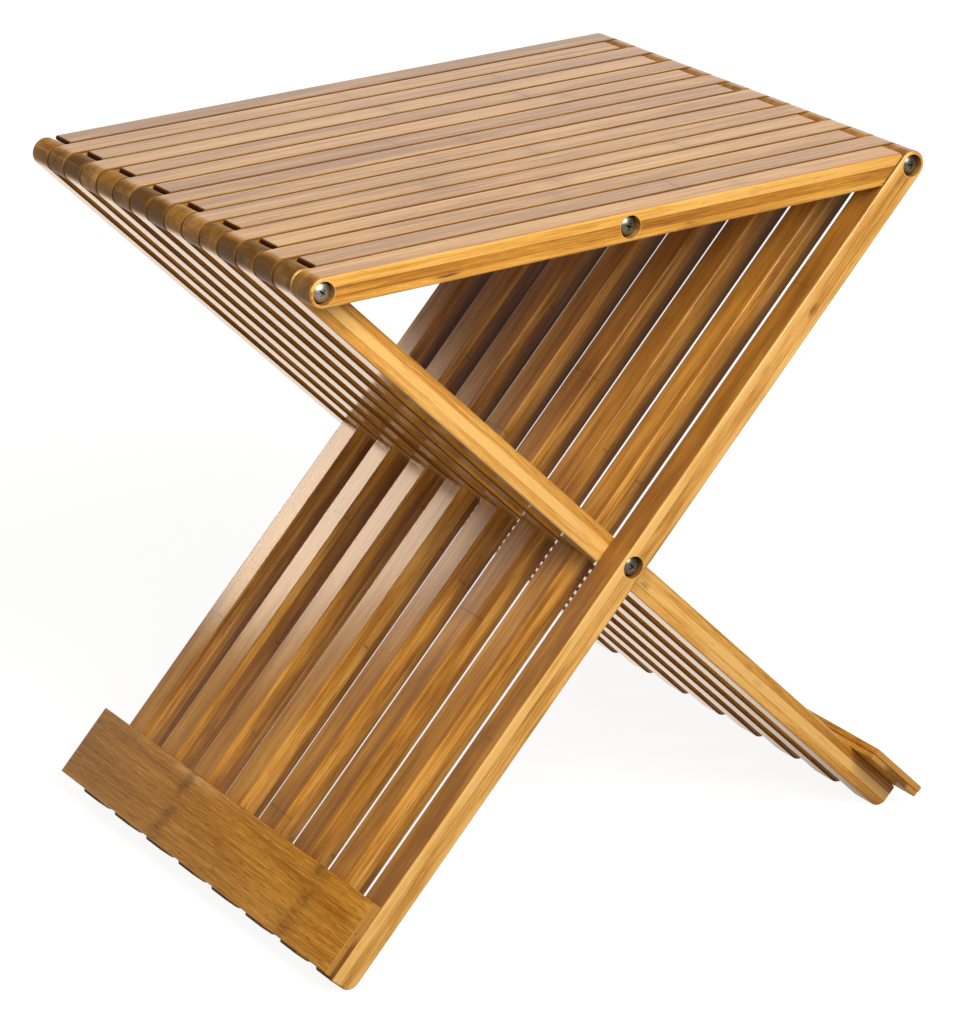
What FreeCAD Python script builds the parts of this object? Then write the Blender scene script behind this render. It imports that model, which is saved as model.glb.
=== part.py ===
"""Folding stool of slatted bamboo: seat slats and leg slats that interleave on four steel rods.

Millimetres, +Z up, X across the seat, Y along the rods with the near side at -Y.
The origin is on the floor under the middle of the seat.
"""
import FreeCAD, Part
import enum
import math
import os

import Sketcher
from FreeCAD import Placement, Rotation, Vector

# Bamboo slats
SLOT_COUNT = 16
SLAT_THICKNESS = 17.0
SLAT_WIDTH = 19.4
SLAT_GAP = 0.6
EDGE_EASE = 1.5

# Places of the four rods with the stool open
PIVOT_SPAN = 384.0
PIVOT_RISE = 199.0

# Feet, and the seat slats' stop against the legs
FOOT_REACH = 284.2
FOOT_ROUND = 7.0
STOP_GAP = 0.8

# Foot boards
BOARD_THICKNESS = 7.5
BOARD_WIDTH = 47.0
BOARD_SETBACK = 1.9
BOARD_EASE = 0.8

# Rods
ROD_DIAMETER = 10.0
ROD_CLEARANCE = 0.05

# Screws and the sinks for their heads
SINK_CLEARANCE = 1.2
SINK_COVER = 0.8
HEAD_DIAMETER = 10.6
HEAD_HEIGHT = 3.2
HEAD_RIM = 1.4
SHANK_DIAMETER = 6.0
SHANK_LENGTH = 10.0
SHANK_CLEARANCE = 0.05
TAP_SPARE = 0.5
RECESS_WIDTH = 1.5
RECESS_LENGTH = 6.0
RECESS_DEPTH = 2.0


class At(enum.IntEnum):
    """Sketcher's numbers for the points of a line or arc, counted from 1."""

    START = enum.auto()
    END = enum.auto()
    CENTRE = enum.auto()


class Own:
    """Sketcher's numbers for the sketch's own axes, counted down from -1; X also holds the origin."""

    X_AXIS = -At.START
    Y_AXIS = -At.END
    ORIGIN = X_AXIS


class Turn:
    """Angles in degrees, and the axes that pieces turn about."""

    FULL = math.degrees(math.tau)
    HALF = FULL / 2
    QUARTER = FULL / 4
    THREE_QUARTERS = FULL - QUARTER
    ABOUT_X = Vector(1, 0, 0)
    ABOUT_Y = Vector(0, 1, 0)
    ABOUT_Z = Vector(0, 0, 1)


class Test:
    """How near two places are taken to be the same."""

    NEAR = 1e-4


doc = FreeCAD.newDocument("folding_stool")
sheet = doc.addObject("Spreadsheet::Sheet", "sizes")
rows_used = []
made = {}


def size(alias, content):
    """Write one driving or derived size into the sheet under its own name."""
    rows_used.append(alias)
    row = str(len(rows_used))
    sheet.set("A" + row, alias)
    sheet.set("B" + row, str(content))
    sheet.setAlias("B" + row, alias)


def value(alias):
    """Return a size from the sheet as a plain number."""
    got = sheet.get(alias)
    return float(getattr(got, "Value", got))


# Driving sizes
size("slot_count", SLOT_COUNT)
size("slat_thickness", SLAT_THICKNESS)
size("slat_width", SLAT_WIDTH)
size("slat_gap", SLAT_GAP)
size("edge_ease", EDGE_EASE)
size("pivot_span", PIVOT_SPAN)
size("pivot_rise", PIVOT_RISE)
size("foot_reach", FOOT_REACH)
size("foot_round", FOOT_ROUND)
size("stop_gap", STOP_GAP)
size("board_thickness", BOARD_THICKNESS)
size("board_width", BOARD_WIDTH)
size("board_setback", BOARD_SETBACK)
size("board_ease", BOARD_EASE)
size("rod_diameter", ROD_DIAMETER)
size("rod_clearance", ROD_CLEARANCE)
size("sink_clearance", SINK_CLEARANCE)
size("sink_cover", SINK_COVER)
size("head_diameter", HEAD_DIAMETER)
size("head_height", HEAD_HEIGHT)
size("head_rim", HEAD_RIM)
size("shank_diameter", SHANK_DIAMETER)
size("shank_length", SHANK_LENGTH)
size("shank_clearance", SHANK_CLEARANCE)
size("tap_spare", TAP_SPARE)
size("recess_width", RECESS_WIDTH)
size("recess_length", RECESS_LENGTH)
size("recess_depth", RECESS_DEPTH)

# Sizes that follow from them
size("half_thickness", "=slat_thickness / 2")
size("slot_pitch", "=slat_width + slat_gap")
size("stack_depth", "=slot_count * slot_pitch - slat_gap")
size("half_span", "=pivot_span / 2")
size("leg_angle", "=atan(half_span / pivot_rise)")
size("leg_upper", "=sqrt(half_span ^ 2 + pivot_rise ^ 2)")
size("leg_length", "=leg_upper + foot_reach")
size("foot_drop", "=(foot_reach - foot_round) * cos(leg_angle)")
size("foot_tuck", "=(half_thickness - foot_round) * sin(leg_angle)")
size("cross_height", "=foot_drop + foot_tuck + foot_round")
size("seat_height", "=cross_height + pivot_rise")
size("stop_middle", "=pivot_span - (half_thickness + stop_gap) / cos(leg_angle)")
size("stop_lean", "=half_thickness * tan(leg_angle)")
size("seat_reach_top", "=stop_middle + stop_lean")
size("seat_reach_bottom", "=stop_middle - stop_lean")
size("board_end", "=leg_length - board_setback")
size("board_start", "=board_end - board_width")
size("board_outside", "=half_thickness + board_thickness")
size("rod_hole_radius", "=rod_diameter / 2 + rod_clearance")
size("sink_radius", "=head_diameter / 2 + sink_clearance")
size("sink_depth", "=head_height + sink_cover")
size("rod_length", "=stack_depth - 2 * sink_depth")
size("tap_radius", "=shank_diameter / 2 + shank_clearance")
size("tap_depth", "=shank_length + tap_spare")
size("first_slot", "=slot_pitch / 2 - slot_count * slot_pitch / 2")
size("sink_floor", "=stack_depth / 2 - sink_depth")
doc.recompute()


def slot_place(slot):
    """Return the expression for the Y of a slot's middle; slot 1 is the nearest."""
    return "sizes.first_slot + " + str(slot - 1) + " * sizes.slot_pitch"


def new_body(label):
    """Add an empty body whose label becomes its file name."""
    body = doc.addObject("PartDesign::Body", label)
    body.Label = label
    return body


def new_sketch(body, name, role="XZ_Plane", lift=None):
    """Add a sketch on one of the body's own planes, lifted along its normal if asked."""
    sketch = body.newObject("Sketcher::SketchObject", body.Name + "_" + name)
    support = [item for item in body.Origin.OriginFeatures if item.Role == role][0]
    sketch.AttachmentSupport = [(support, "")]
    sketch.MapMode = "FlatFace"
    if lift:
        sketch.setExpression(".AttachmentOffset.Base.z", lift)
    return sketch


def tie(sketch, *parts):
    """Add a geometric constraint."""
    return sketch.addConstraint(Sketcher.Constraint(*parts))


def drive(sketch, name, expression, *parts):
    """Add a constraint with a name and bind its size to the sheet."""
    index = tie(sketch, *parts)
    sketch.renameConstraint(index, name)
    sketch.setExpression("Constraints." + name, expression)


def across(sketch, name, expression, piece, point, distance):
    """Drive how far a point lies from the sketch's origin along X."""
    drive(sketch, name, expression, "DistanceX", Own.ORIGIN, At.START, piece, point, distance)


def upward(sketch, name, expression, piece, point, distance):
    """Drive how far a point lies from the sketch's origin along Y, above it or below it."""
    if distance > 0:
        drive(sketch, name, expression, "DistanceY", Own.ORIGIN, At.START, piece, point, distance)
    else:
        drive(sketch, name, expression, "DistanceY", piece, point, Own.ORIGIN, At.START, -distance)


def line(sketch, start, end):
    """Draw a straight line and return its index."""
    return sketch.addGeometry(Part.LineSegment(Vector(*start, 0), Vector(*end, 0)), False)


def arc(sketch, centre, radius, first, last):
    """Draw an arc between two angles in degrees and return its index."""
    circle = Part.Circle(Vector(*centre, 0), Vector(0, 0, 1), radius)
    return sketch.addGeometry(Part.ArcOfCircle(circle, math.radians(first), math.radians(last)), False)


def round_end(sketch):
    """Draw the slat's full round end about the pivot at the sketch's origin."""
    end = arc(sketch, (0, 0), value("half_thickness"), Turn.QUARTER, Turn.THREE_QUARTERS)
    tie(sketch, "Coincident", end, At.CENTRE, Own.ORIGIN, At.START)
    drive(sketch, "end_radius", "sizes.half_thickness", "Radius", end, value("half_thickness"))
    return end


def draw_seat_outline(sketch):
    """Draw a seat slat: round end at the pivot, free end cut back to lie along the leg."""
    half = value("half_thickness")
    low = value("seat_reach_bottom")
    high = value("seat_reach_top")
    end = round_end(sketch)
    under = line(sketch, (0, -half), (low, -half))
    stop = line(sketch, (low, -half), (high, half))
    top = line(sketch, (high, half), (0, half))
    tie(sketch, "Tangent", end, At.END, under, At.START)
    tie(sketch, "Tangent", end, At.START, top, At.END)
    tie(sketch, "Coincident", under, At.END, stop, At.START)
    tie(sketch, "Coincident", stop, At.END, top, At.START)
    tie(sketch, "Horizontal", under)
    tie(sketch, "Horizontal", top)
    across(sketch, "reach_bottom", "sizes.seat_reach_bottom", under, At.END, low)
    across(sketch, "reach_top", "sizes.seat_reach_top", stop, At.END, high)


def draw_leg_outline(sketch, inner):
    """Draw a leg slat: round end at the seat rod, square foot with its inner corner rounded.

    inner is 1 where the sketch's +Y side faces the other legs, and -1 where its -Y side does.
    """
    half = value("half_thickness")
    reach = value("leg_length")
    bend = value("foot_round")
    end = round_end(sketch)
    inside = line(sketch, (0, inner * half), (reach - bend, inner * half))
    outside = line(sketch, (0, -inner * half), (reach, -inner * half))
    sole = line(sketch, (reach, inner * (half - bend)), (reach, -inner * half))
    if inner > 0:
        corner = arc(sketch, (reach - bend, half - bend), bend, 0, Turn.QUARTER)
        tie(sketch, "Tangent", end, At.START, inside, At.START)
        tie(sketch, "Tangent", end, At.END, outside, At.START)
        tie(sketch, "Tangent", corner, At.END, inside, At.END)
        tie(sketch, "Tangent", corner, At.START, sole, At.START)
    else:
        corner = arc(sketch, (reach - bend, bend - half), bend, Turn.THREE_QUARTERS, Turn.FULL)
        tie(sketch, "Tangent", end, At.END, inside, At.START)
        tie(sketch, "Tangent", end, At.START, outside, At.START)
        tie(sketch, "Tangent", corner, At.START, inside, At.END)
        tie(sketch, "Tangent", corner, At.END, sole, At.START)
    tie(sketch, "Coincident", outside, At.END, sole, At.END)
    tie(sketch, "Horizontal", inside)
    tie(sketch, "Horizontal", outside)
    tie(sketch, "Vertical", sole)
    drive(sketch, "corner_radius", "sizes.foot_round", "Radius", corner, bend)
    across(sketch, "reach", "sizes.leg_length", sole, At.END, reach)


def draw_circle(sketch, name, along, along_size, radius, radius_size):
    """Draw a circle on the sketch's X axis, at its origin where along is None."""
    centre = Vector(along_size, 0, 0)
    ring = sketch.addGeometry(Part.Circle(centre, Vector(0, 0, 1), radius_size), False)
    if along is None:
        tie(sketch, "Coincident", ring, At.CENTRE, Own.ORIGIN, At.START)
    else:
        tie(sketch, "PointOnObject", ring, At.CENTRE, Own.X_AXIS)
        across(sketch, name + "_place", along, ring, At.CENTRE, along_size)
    drive(sketch, name + "_radius", radius, "Radius", ring, radius_size)


def pad(body, sketch, length):
    """Pad a sketch equally to both sides of its plane."""
    feature = body.newObject("PartDesign::Pad", body.Name + "_pad")
    feature.Profile = sketch
    feature.SideType = "Symmetric"
    feature.setExpression("Length", length)
    body.Tip = feature
    doc.recompute()
    return feature


def ease(body, feature, radius, chosen):
    """Round the edges of a feature that the chosen test picks."""
    names = []
    for index, edge in enumerate(feature.Shape.Edges):
        if chosen(edge):
            names.append("Edge" + str(index + 1))
    rounding = body.newObject("PartDesign::Fillet", body.Name + "_ease")
    rounding.Base = (feature, names)
    rounding.setExpression("Radius", radius)
    body.Tip = rounding
    doc.recompute()


def same(first, second):
    """Tell whether two places are the same but for rounding."""
    return math.isclose(first, second, abs_tol=Test.NEAR)


def on_side_face(edge, half_width):
    """Tell whether an edge lies on one of the slat's two side faces."""
    ends = [vertex.Point.y for vertex in edge.Vertexes]
    return same(ends[0], ends[-1]) and same(abs(ends[0]), half_width)


def is_free_end_edge(edge, least_reach):
    """Tell whether an edge runs across the slat at its free end."""
    points = [vertex.Point for vertex in edge.Vertexes]
    return not same(points[0].y, points[-1].y) and min(point.x for point in points) > least_reach


def through_holes(body, name, along, along_size):
    """Cut the two rod holes, one at the pivot and one farther along the slat."""
    radius = value("rod_hole_radius")
    sketch = new_sketch(body, name)
    draw_circle(sketch, "pivot", None, 0, "sizes.rod_hole_radius", radius)
    draw_circle(sketch, "second", along, along_size, "sizes.rod_hole_radius", radius)
    cut = body.newObject("PartDesign::Pocket", body.Name + "_" + name + "_cut")
    cut.Profile = sketch
    cut.Type = "ThroughAll"
    cut.SideType = "Symmetric"
    body.Tip = cut


def end_pockets(body, name, toward, half_length, spots, radius, radius_size, depth):
    """Cut round blind holes into the near (toward -1) or far (toward 1) end of a body.

    spots is a list of (name, expression or None, size) places along the sketch's X axis.
    """
    lift = half_length if toward < 0 else "-(" + half_length + ")"
    sketch = new_sketch(body, name, lift=lift)
    for spot, along, along_size in spots:
        draw_circle(sketch, spot, along, along_size, radius, radius_size)
    cut = body.newObject("PartDesign::Pocket", body.Name + "_" + name + "_cut")
    cut.Profile = sketch
    cut.Type = "Length"
    cut.setExpression("Length", depth)
    cut.Reversed = toward > 0
    body.Tip = cut


def place(thing, sideways, along, up, turn=None, turn_size=0.0):
    """Bind where an object sits, and how far it is turned about Y."""
    if turn_size:
        thing.Placement = Placement(Vector(0, 0, 0), Rotation(Turn.ABOUT_Y, turn_size))
    if turn:
        thing.setExpression(".Placement.Rotation.Angle", turn)
    thing.setExpression(".Placement.Base.x", sideways)
    thing.setExpression(".Placement.Base.y", along)
    thing.setExpression(".Placement.Base.z", up)


def outer_side(slot):
    """Return -1 for the nearest slot, 1 for the farthest and 0 for the ones between."""
    if slot == 1:
        return -1
    return 1 if slot == SLOT_COUNT else 0


def make_slat(label, sink_side, draw, far_hole, free_end_from):
    """Make one slat: outline, eased edges, rod holes and, where sink_side isn't 0, screw sinks."""
    body = new_body(label)
    outline = new_sketch(body, "outline")
    draw(outline)
    blank = pad(body, outline, "sizes.slat_width")
    half_width = value("slat_width") / 2
    ease(
        body,
        blank,
        "sizes.edge_ease",
        lambda edge: on_side_face(edge, half_width) or is_free_end_edge(edge, free_end_from),
    )
    through_holes(body, "holes", "sizes." + far_hole, value(far_hole))
    if sink_side:
        spots = [("pivot", None, 0), ("second", "sizes." + far_hole, value(far_hole))]
        end_pockets(body, "sinks", sink_side, "sizes.slat_width / 2", spots,
                    "sizes.sink_radius", value("sink_radius"), "sizes.sink_depth")
    made[label] = body
    return body


def make_seat_slat(slot):
    """Make a seat slat; odd slots hinge at the left seat rod, even slots at the right one.

    An even slot's slat is turned half round, so its own near side faces the stool's far side.
    """
    hinged_left = slot % 2 == 1
    sink_side = outer_side(slot) if hinged_left else -outer_side(slot)
    body = make_slat("seat_slat_%02d" % slot, sink_side, draw_seat_outline, "half_span",
                     value("seat_reach_bottom") - value("edge_ease"))
    if hinged_left:
        place(body, "-sizes.half_span", slot_place(slot), "sizes.seat_height")
    else:
        turn_about_up(body, slot)


def turn_about_up(body, slot):
    """Set an even slot's seat slat at the right seat rod, turned half round about +Z."""
    body.Placement = Placement(Vector(0, 0, 0), Rotation(Turn.ABOUT_Z, Turn.HALF))
    body.setExpression(".Placement.Base.x", "sizes.half_span")
    body.setExpression(".Placement.Base.y", slot_place(slot))
    body.setExpression(".Placement.Base.z", "sizes.seat_height")


def make_leg_slat(slot):
    """Make a leg slat; odd slots run from the right seat rod to the left foot."""
    inner = 1 if slot % 2 else -1
    foot = value("leg_length") - value("foot_round") / 2
    body = make_slat("leg_slat_%02d" % slot, outer_side(slot),
                     lambda sketch: draw_leg_outline(sketch, inner), "leg_upper", foot)
    place_on_leg(body, inner, slot_place(slot))


def place_on_leg(thing, inner, along):
    """Lay an object's X along the legs that run to the left foot (inner 1) or right foot (-1)."""
    if inner > 0:
        place(thing, "sizes.half_span", along, "sizes.seat_height",
              "90 deg + sizes.leg_angle", Turn.QUARTER + value("leg_angle"))
    else:
        place(thing, "-sizes.half_span", along, "sizes.seat_height",
              "90 deg - sizes.leg_angle", Turn.QUARTER - value("leg_angle"))


def make_foot_board(label, inner):
    """Make the board that lies across the outer side of one set of feet."""
    body = new_body(label)
    sketch = new_sketch(body, "outline")
    low = value("board_start")
    high = value("board_end")
    near = -inner * value("half_thickness")
    far = -inner * value("board_outside")
    top = line(sketch, (low, near), (low, far))
    face = line(sketch, (low, far), (high, far))
    bottom = line(sketch, (high, far), (high, near))
    seat = line(sketch, (high, near), (low, near))
    tie(sketch, "Coincident", top, At.END, face, At.START)
    tie(sketch, "Coincident", face, At.END, bottom, At.START)
    tie(sketch, "Coincident", bottom, At.END, seat, At.START)
    tie(sketch, "Coincident", seat, At.END, top, At.START)
    tie(sketch, "Vertical", top)
    tie(sketch, "Vertical", bottom)
    tie(sketch, "Horizontal", face)
    tie(sketch, "Horizontal", seat)
    across(sketch, "begin", "sizes.board_start", top, At.START, low)
    across(sketch, "finish", "sizes.board_end", bottom, At.START, high)
    upward(sketch, "seat_place", "sizes.half_thickness", seat, At.START, near)
    upward(sketch, "face_place", "sizes.board_outside", face, At.START, far)
    blank = pad(body, sketch, "sizes.stack_depth")
    ease(body, blank, "sizes.board_ease",
         lambda edge: all(same(vertex.Point.z, far) for vertex in edge.Vertexes))
    place_on_leg(body, inner, "0")
    made[label] = body


def make_round_bar(label, length, tapped):
    """Make a round bar along Y, with tapped holes in the ends that tapped lists."""
    body = new_body(label)
    sketch = new_sketch(body, "outline")
    draw_circle(sketch, "bar", None, 0, "sizes.rod_diameter / 2", value("rod_diameter") / 2)
    pad(body, sketch, length)
    for toward in tapped:
        name = "near_tap" if toward < 0 else "far_tap"
        end_pockets(body, name, toward, "(" + length + ") / 2", [("tap", None, 0)],
                    "sizes.tap_radius", value("tap_radius"), "sizes.tap_depth")
    return body


def make_rod(label, sideways, up):
    """Make a rod that runs through every slot, tapped at both ends."""
    body = make_round_bar(label, "sizes.rod_length", (-1, 1))
    place(body, sideways, "0", up)
    made[label] = body


def make_group(label, things):
    """Put separate solids together as one node."""
    group = doc.addObject("Part::Compound", label)
    group.Label = label
    group.Links = things
    made[label] = group


def make_middle_lengths(label, slots):
    """Make the lengths of the middle rod that sit in the seat slats of the given slots."""
    lengths = []
    for slot in slots:
        toward = outer_side(slot)
        name = "middle_length_%02d" % slot
        if toward:
            body = make_round_bar(name, "sizes.slat_width - sizes.sink_depth", (toward,))
            shift = " - " if toward > 0 else " + "
            along = slot_place(slot) + shift + "sizes.sink_depth / 2"
        else:
            body = make_round_bar(name, "sizes.slat_width", ())
            along = slot_place(slot)
        place(body, "0", along, "sizes.seat_height")
        lengths.append(body)
    make_group(label, lengths)


def draw_screw_profile(sketch):
    """Draw half a pan head screw's section, its axis on the sketch's Y and its seat at zero."""
    shank = value("shank_diameter") / 2
    long = value("shank_length")
    head = value("head_diameter") / 2
    tall = value("head_height")
    rim = value("head_rim")
    axis = line(sketch, (0, tall), (0, -long))
    tip = line(sketch, (0, -long), (shank, -long))
    side = line(sketch, (shank, -long), (shank, 0))
    seat = line(sketch, (shank, 0), (head, 0))
    edge = line(sketch, (head, 0), (head, rim))
    drop = tall - rim
    radius = (head * head + drop * drop) / (2 * drop)
    centre = tall - radius
    first = math.degrees(math.atan2(rim - centre, head))
    dome = arc(sketch, (0, centre), radius, first, Turn.QUARTER)
    tie(sketch, "PointOnObject", axis, At.START, Own.Y_AXIS)
    tie(sketch, "PointOnObject", axis, At.END, Own.Y_AXIS)
    tie(sketch, "Coincident", axis, At.END, tip, At.START)
    tie(sketch, "Coincident", tip, At.END, side, At.START)
    tie(sketch, "Coincident", side, At.END, seat, At.START)
    tie(sketch, "Coincident", seat, At.END, edge, At.START)
    tie(sketch, "Coincident", edge, At.END, dome, At.START)
    tie(sketch, "Coincident", dome, At.END, axis, At.START)
    tie(sketch, "Horizontal", tip)
    tie(sketch, "Vertical", side)
    tie(sketch, "Vertical", edge)
    tie(sketch, "PointOnObject", seat, At.START, Own.X_AXIS)
    tie(sketch, "PointOnObject", seat, At.END, Own.X_AXIS)
    tie(sketch, "PointOnObject", dome, At.CENTRE, Own.Y_AXIS)
    across(sketch, "shank_radius", "sizes.shank_diameter / 2", seat, At.START, shank)
    across(sketch, "head_radius", "sizes.head_diameter / 2", seat, At.END, head)
    upward(sketch, "shank_long", "sizes.shank_length", tip, At.START, -long)
    upward(sketch, "rim_tall", "sizes.head_rim", edge, At.END, rim)
    upward(sketch, "head_tall", "sizes.head_height", dome, At.END, tall)


def draw_bar_of_recess(sketch, wide, wide_size, tall, tall_size):
    """Draw one bar of the cross recess as a rectangle about the sketch's origin."""
    right = wide_size / 2
    upper = tall_size / 2
    bottom = line(sketch, (-right, -upper), (right, -upper))
    east = line(sketch, (right, -upper), (right, upper))
    top = line(sketch, (right, upper), (-right, upper))
    west = line(sketch, (-right, upper), (-right, -upper))
    tie(sketch, "Coincident", bottom, At.END, east, At.START)
    tie(sketch, "Coincident", east, At.END, top, At.START)
    tie(sketch, "Coincident", top, At.END, west, At.START)
    tie(sketch, "Coincident", west, At.END, bottom, At.START)
    tie(sketch, "Horizontal", bottom)
    tie(sketch, "Horizontal", top)
    tie(sketch, "Vertical", east)
    tie(sketch, "Vertical", west)
    tie(sketch, "Symmetric", bottom, At.START, top, At.START, Own.ORIGIN, At.START)
    drive(sketch, "wide", wide, "DistanceX", bottom, At.START, bottom, At.END, wide_size)
    drive(sketch, "tall", tall, "DistanceY", east, At.START, east, At.END, tall_size)


def recess_bar(body, name, wide, tall):
    """Cut one bar of the cross recess into the screw's head."""
    sketch = new_sketch(body, name, role="XY_Plane", lift="sizes.head_height")
    draw_bar_of_recess(sketch, "sizes." + wide, value(wide), "sizes." + tall, value(tall))
    cut = body.newObject("PartDesign::Pocket", body.Name + "_" + name + "_cut")
    cut.Profile = sketch
    cut.Type = "Length"
    cut.setExpression("Length", "sizes.recess_depth")
    body.Tip = cut


def make_screw(name, sideways, up, toward):
    """Make a screw on a rod's axis, its head at the near (-1) or far (1) end."""
    body = new_body(name)
    sketch = new_sketch(body, "section")
    draw_screw_profile(sketch)
    turned = body.newObject("PartDesign::Revolution", body.Name + "_turned")
    turned.Profile = sketch
    turned.ReferenceAxis = (sketch, ["V_Axis"])
    turned.Angle = Turn.FULL
    body.Tip = turned
    doc.recompute()
    recess_bar(body, "upright", "recess_width", "recess_length")
    recess_bar(body, "level", "recess_length", "recess_width")
    seat = "-sizes.sink_floor" if toward < 0 else "sizes.sink_floor"
    body.Placement = Placement(Vector(0, 0, 0), Rotation(Turn.ABOUT_X, -Turn.QUARTER * toward))
    place(body, sideways, seat, up)
    return body


def make_rod_screws(label, sideways, up):
    """Make the two screws of one rod as one node."""
    near = make_screw(label + "_near", sideways, up, -1)
    far = make_screw(label + "_far", sideways, up, 1)
    make_group(label, [near, far])


def make_single_screw(label, toward):
    """Make the middle rod's screw at one end as its own node."""
    make_group(label, [make_screw(label + "_screw", "0", "sizes.seat_height", toward)])


def check_and_write():
    """Stop on any fault, then write one file per node."""
    doc.recompute()
    for thing in doc.Objects:
        faults = [state for state in thing.State if state in ("Invalid", "Error")]
        if faults:
            raise RuntimeError(thing.Label + " is " + ", ".join(faults))
    os.makedirs("parts", exist_ok=True)
    for label, thing in made.items():
        shape = thing.Shape
        if shape.isNull() or not shape.isValid():
            raise RuntimeError(label + " has no valid shape")
        shape.exportStep("parts/" + label + ".step")
        print(label, len(shape.Solids), "solids", round(shape.Volume, 1), "mm3")


for slot in range(1, SLOT_COUNT + 1):
    make_seat_slat(slot)
    make_leg_slat(slot)
make_foot_board("left_foot_board", 1)
make_foot_board("right_foot_board", -1)
make_rod("left_seat_rod", "-sizes.half_span", "sizes.seat_height")
make_rod("right_seat_rod", "sizes.half_span", "sizes.seat_height")
make_rod("cross_rod", "0", "sizes.cross_height")
make_middle_lengths("middle_rod_left_lengths", range(1, SLOT_COUNT, 2))
make_middle_lengths("middle_rod_right_lengths", range(2, SLOT_COUNT + 1, 2))
make_rod_screws("left_rod_screws", "-sizes.half_span", "sizes.seat_height")
make_rod_screws("right_rod_screws", "sizes.half_span", "sizes.seat_height")
make_rod_screws("cross_rod_screws", "0", "sizes.cross_height")
make_single_screw("middle_rod_near_screw", -1)
make_single_screw("middle_rod_far_screw", 1)
check_and_write()
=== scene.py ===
"""Dresses the folding bamboo stool and sets the studio round it.

Metres, +Z up, X across the seat, Y along the rods with the photographed side at -Y.
"""

import logging
import math
from dataclasses import dataclass, field
from enum import Enum
from functools import reduce
from typing import Any, Callable, Dict, NamedTuple, Optional, Sequence, Tuple, Union

import bpy
from mathutils import Euler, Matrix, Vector


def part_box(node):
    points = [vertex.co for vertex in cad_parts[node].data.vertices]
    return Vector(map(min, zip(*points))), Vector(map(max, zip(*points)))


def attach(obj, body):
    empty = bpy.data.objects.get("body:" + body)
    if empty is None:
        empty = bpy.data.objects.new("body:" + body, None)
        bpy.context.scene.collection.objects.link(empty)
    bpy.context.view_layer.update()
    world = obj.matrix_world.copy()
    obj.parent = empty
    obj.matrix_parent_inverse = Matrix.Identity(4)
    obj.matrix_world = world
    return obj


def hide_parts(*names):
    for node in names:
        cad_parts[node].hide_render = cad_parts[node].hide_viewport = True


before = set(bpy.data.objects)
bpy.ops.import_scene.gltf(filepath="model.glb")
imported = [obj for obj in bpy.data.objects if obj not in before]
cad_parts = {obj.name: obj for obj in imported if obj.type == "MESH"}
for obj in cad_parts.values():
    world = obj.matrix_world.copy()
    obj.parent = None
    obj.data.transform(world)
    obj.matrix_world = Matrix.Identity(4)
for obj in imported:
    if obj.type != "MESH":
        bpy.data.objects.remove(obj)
log = logging.getLogger("stool")

MIDDLE = 0.5
QUARTER_TURN = math.radians(90.0)

# The colour sockets of a Mix node, by number because its other sockets have the same names
MIX_SHARE = 0
MIX_UNDER = 6
MIX_OVER = 7
MIX_RESULT = 2


class Colour(NamedTuple):
    """A linear colour."""

    red: float
    green: float
    blue: float

    def full(self) -> Tuple[float, float, float, float]:
        """Return the colour with an opaque alpha."""
        return (self.red, self.green, self.blue, 1.0)


class Step(NamedTuple):
    """Where a smooth step leaves 0 and where it reaches 1."""

    low: float
    high: float


class Fineness(NamedTuple):
    """How many finer layers a noise has, and how strong those are."""

    detail: float
    roughness: float


WHITE = Colour(1.0, 1.0, 1.0)
Number = Union["Wire", float]
Stops = Sequence[Tuple[float, Colour]]


class Wire:
    """One output of a shader node, with the arithmetic that the finishes use."""

    def __init__(self, graph: "Graph", socket: bpy.types.NodeSocket) -> None:
        """Keep the graph and the output socket."""
        self.graph = graph
        self.socket = socket

    def __add__(self, other: Number) -> "Wire":
        """Return this plus the other."""
        return self.graph.math("ADD", self, other)

    def __radd__(self, other: Number) -> "Wire":
        """Return the other plus this."""
        return self.graph.math("ADD", other, self)

    def __sub__(self, other: Number) -> "Wire":
        """Return this minus the other."""
        return self.graph.math("SUBTRACT", self, other)

    def __rsub__(self, other: Number) -> "Wire":
        """Return the other minus this."""
        return self.graph.math("SUBTRACT", other, self)

    def __mul__(self, other: Number) -> "Wire":
        """Return this times the other."""
        return self.graph.math("MULTIPLY", self, other)

    def __rmul__(self, other: Number) -> "Wire":
        """Return the other times this."""
        return self.graph.math("MULTIPLY", other, self)

    def __truediv__(self, other: Number) -> "Wire":
        """Return this over the other."""
        return self.graph.math("DIVIDE", self, other)

    def __abs__(self) -> "Wire":
        """Return the size without its sign."""
        return self.graph.math("ABSOLUTE", self)

    def __pow__(self, other: Number) -> "Wire":
        """Return this to a power."""
        return self.graph.math("POWER", self, other)

    def floor(self) -> "Wire":
        """Return the whole part."""
        return self.graph.math("FLOOR", self)

    def fraction(self) -> "Wire":
        """Return the part after the point."""
        return self.graph.math("FRACT", self)

    def root(self) -> "Wire":
        """Return the square root."""
        return self.graph.math("SQRT", self)

    def centred(self) -> "Wire":
        """Return how far a number from 0 to 1 lies from its middle."""
        return self.graph.math("SUBTRACT", self, MIDDLE)

    def at_least(self, least: Number) -> "Wire":
        """Return this, or the least where this is lower."""
        return self.graph.math("MAXIMUM", self, least)

    def at_most(self, most: Number) -> "Wire":
        """Return this, or the most where this is higher."""
        return self.graph.math("MINIMUM", self, most)

    def rise(self, low: float, high: float) -> "Wire":
        """Return a smooth step.

        Args:
            low: where the step leaves 0.
            high: where it reaches 1.

        Returns:
            The step's height, from 0 to 1.
        """
        inputs = {"Value": self, "From Min": low, "From Max": high}
        return self.graph.add("ShaderNodeMapRange", {"interpolation_type": "SMOOTHSTEP"}, inputs)

    def rise_before(self, end: float, step: Step) -> "Wire":
        """Return a smooth step whose places are measured back from an end."""
        return self.rise(end - step.low, end - step.high)


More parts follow.
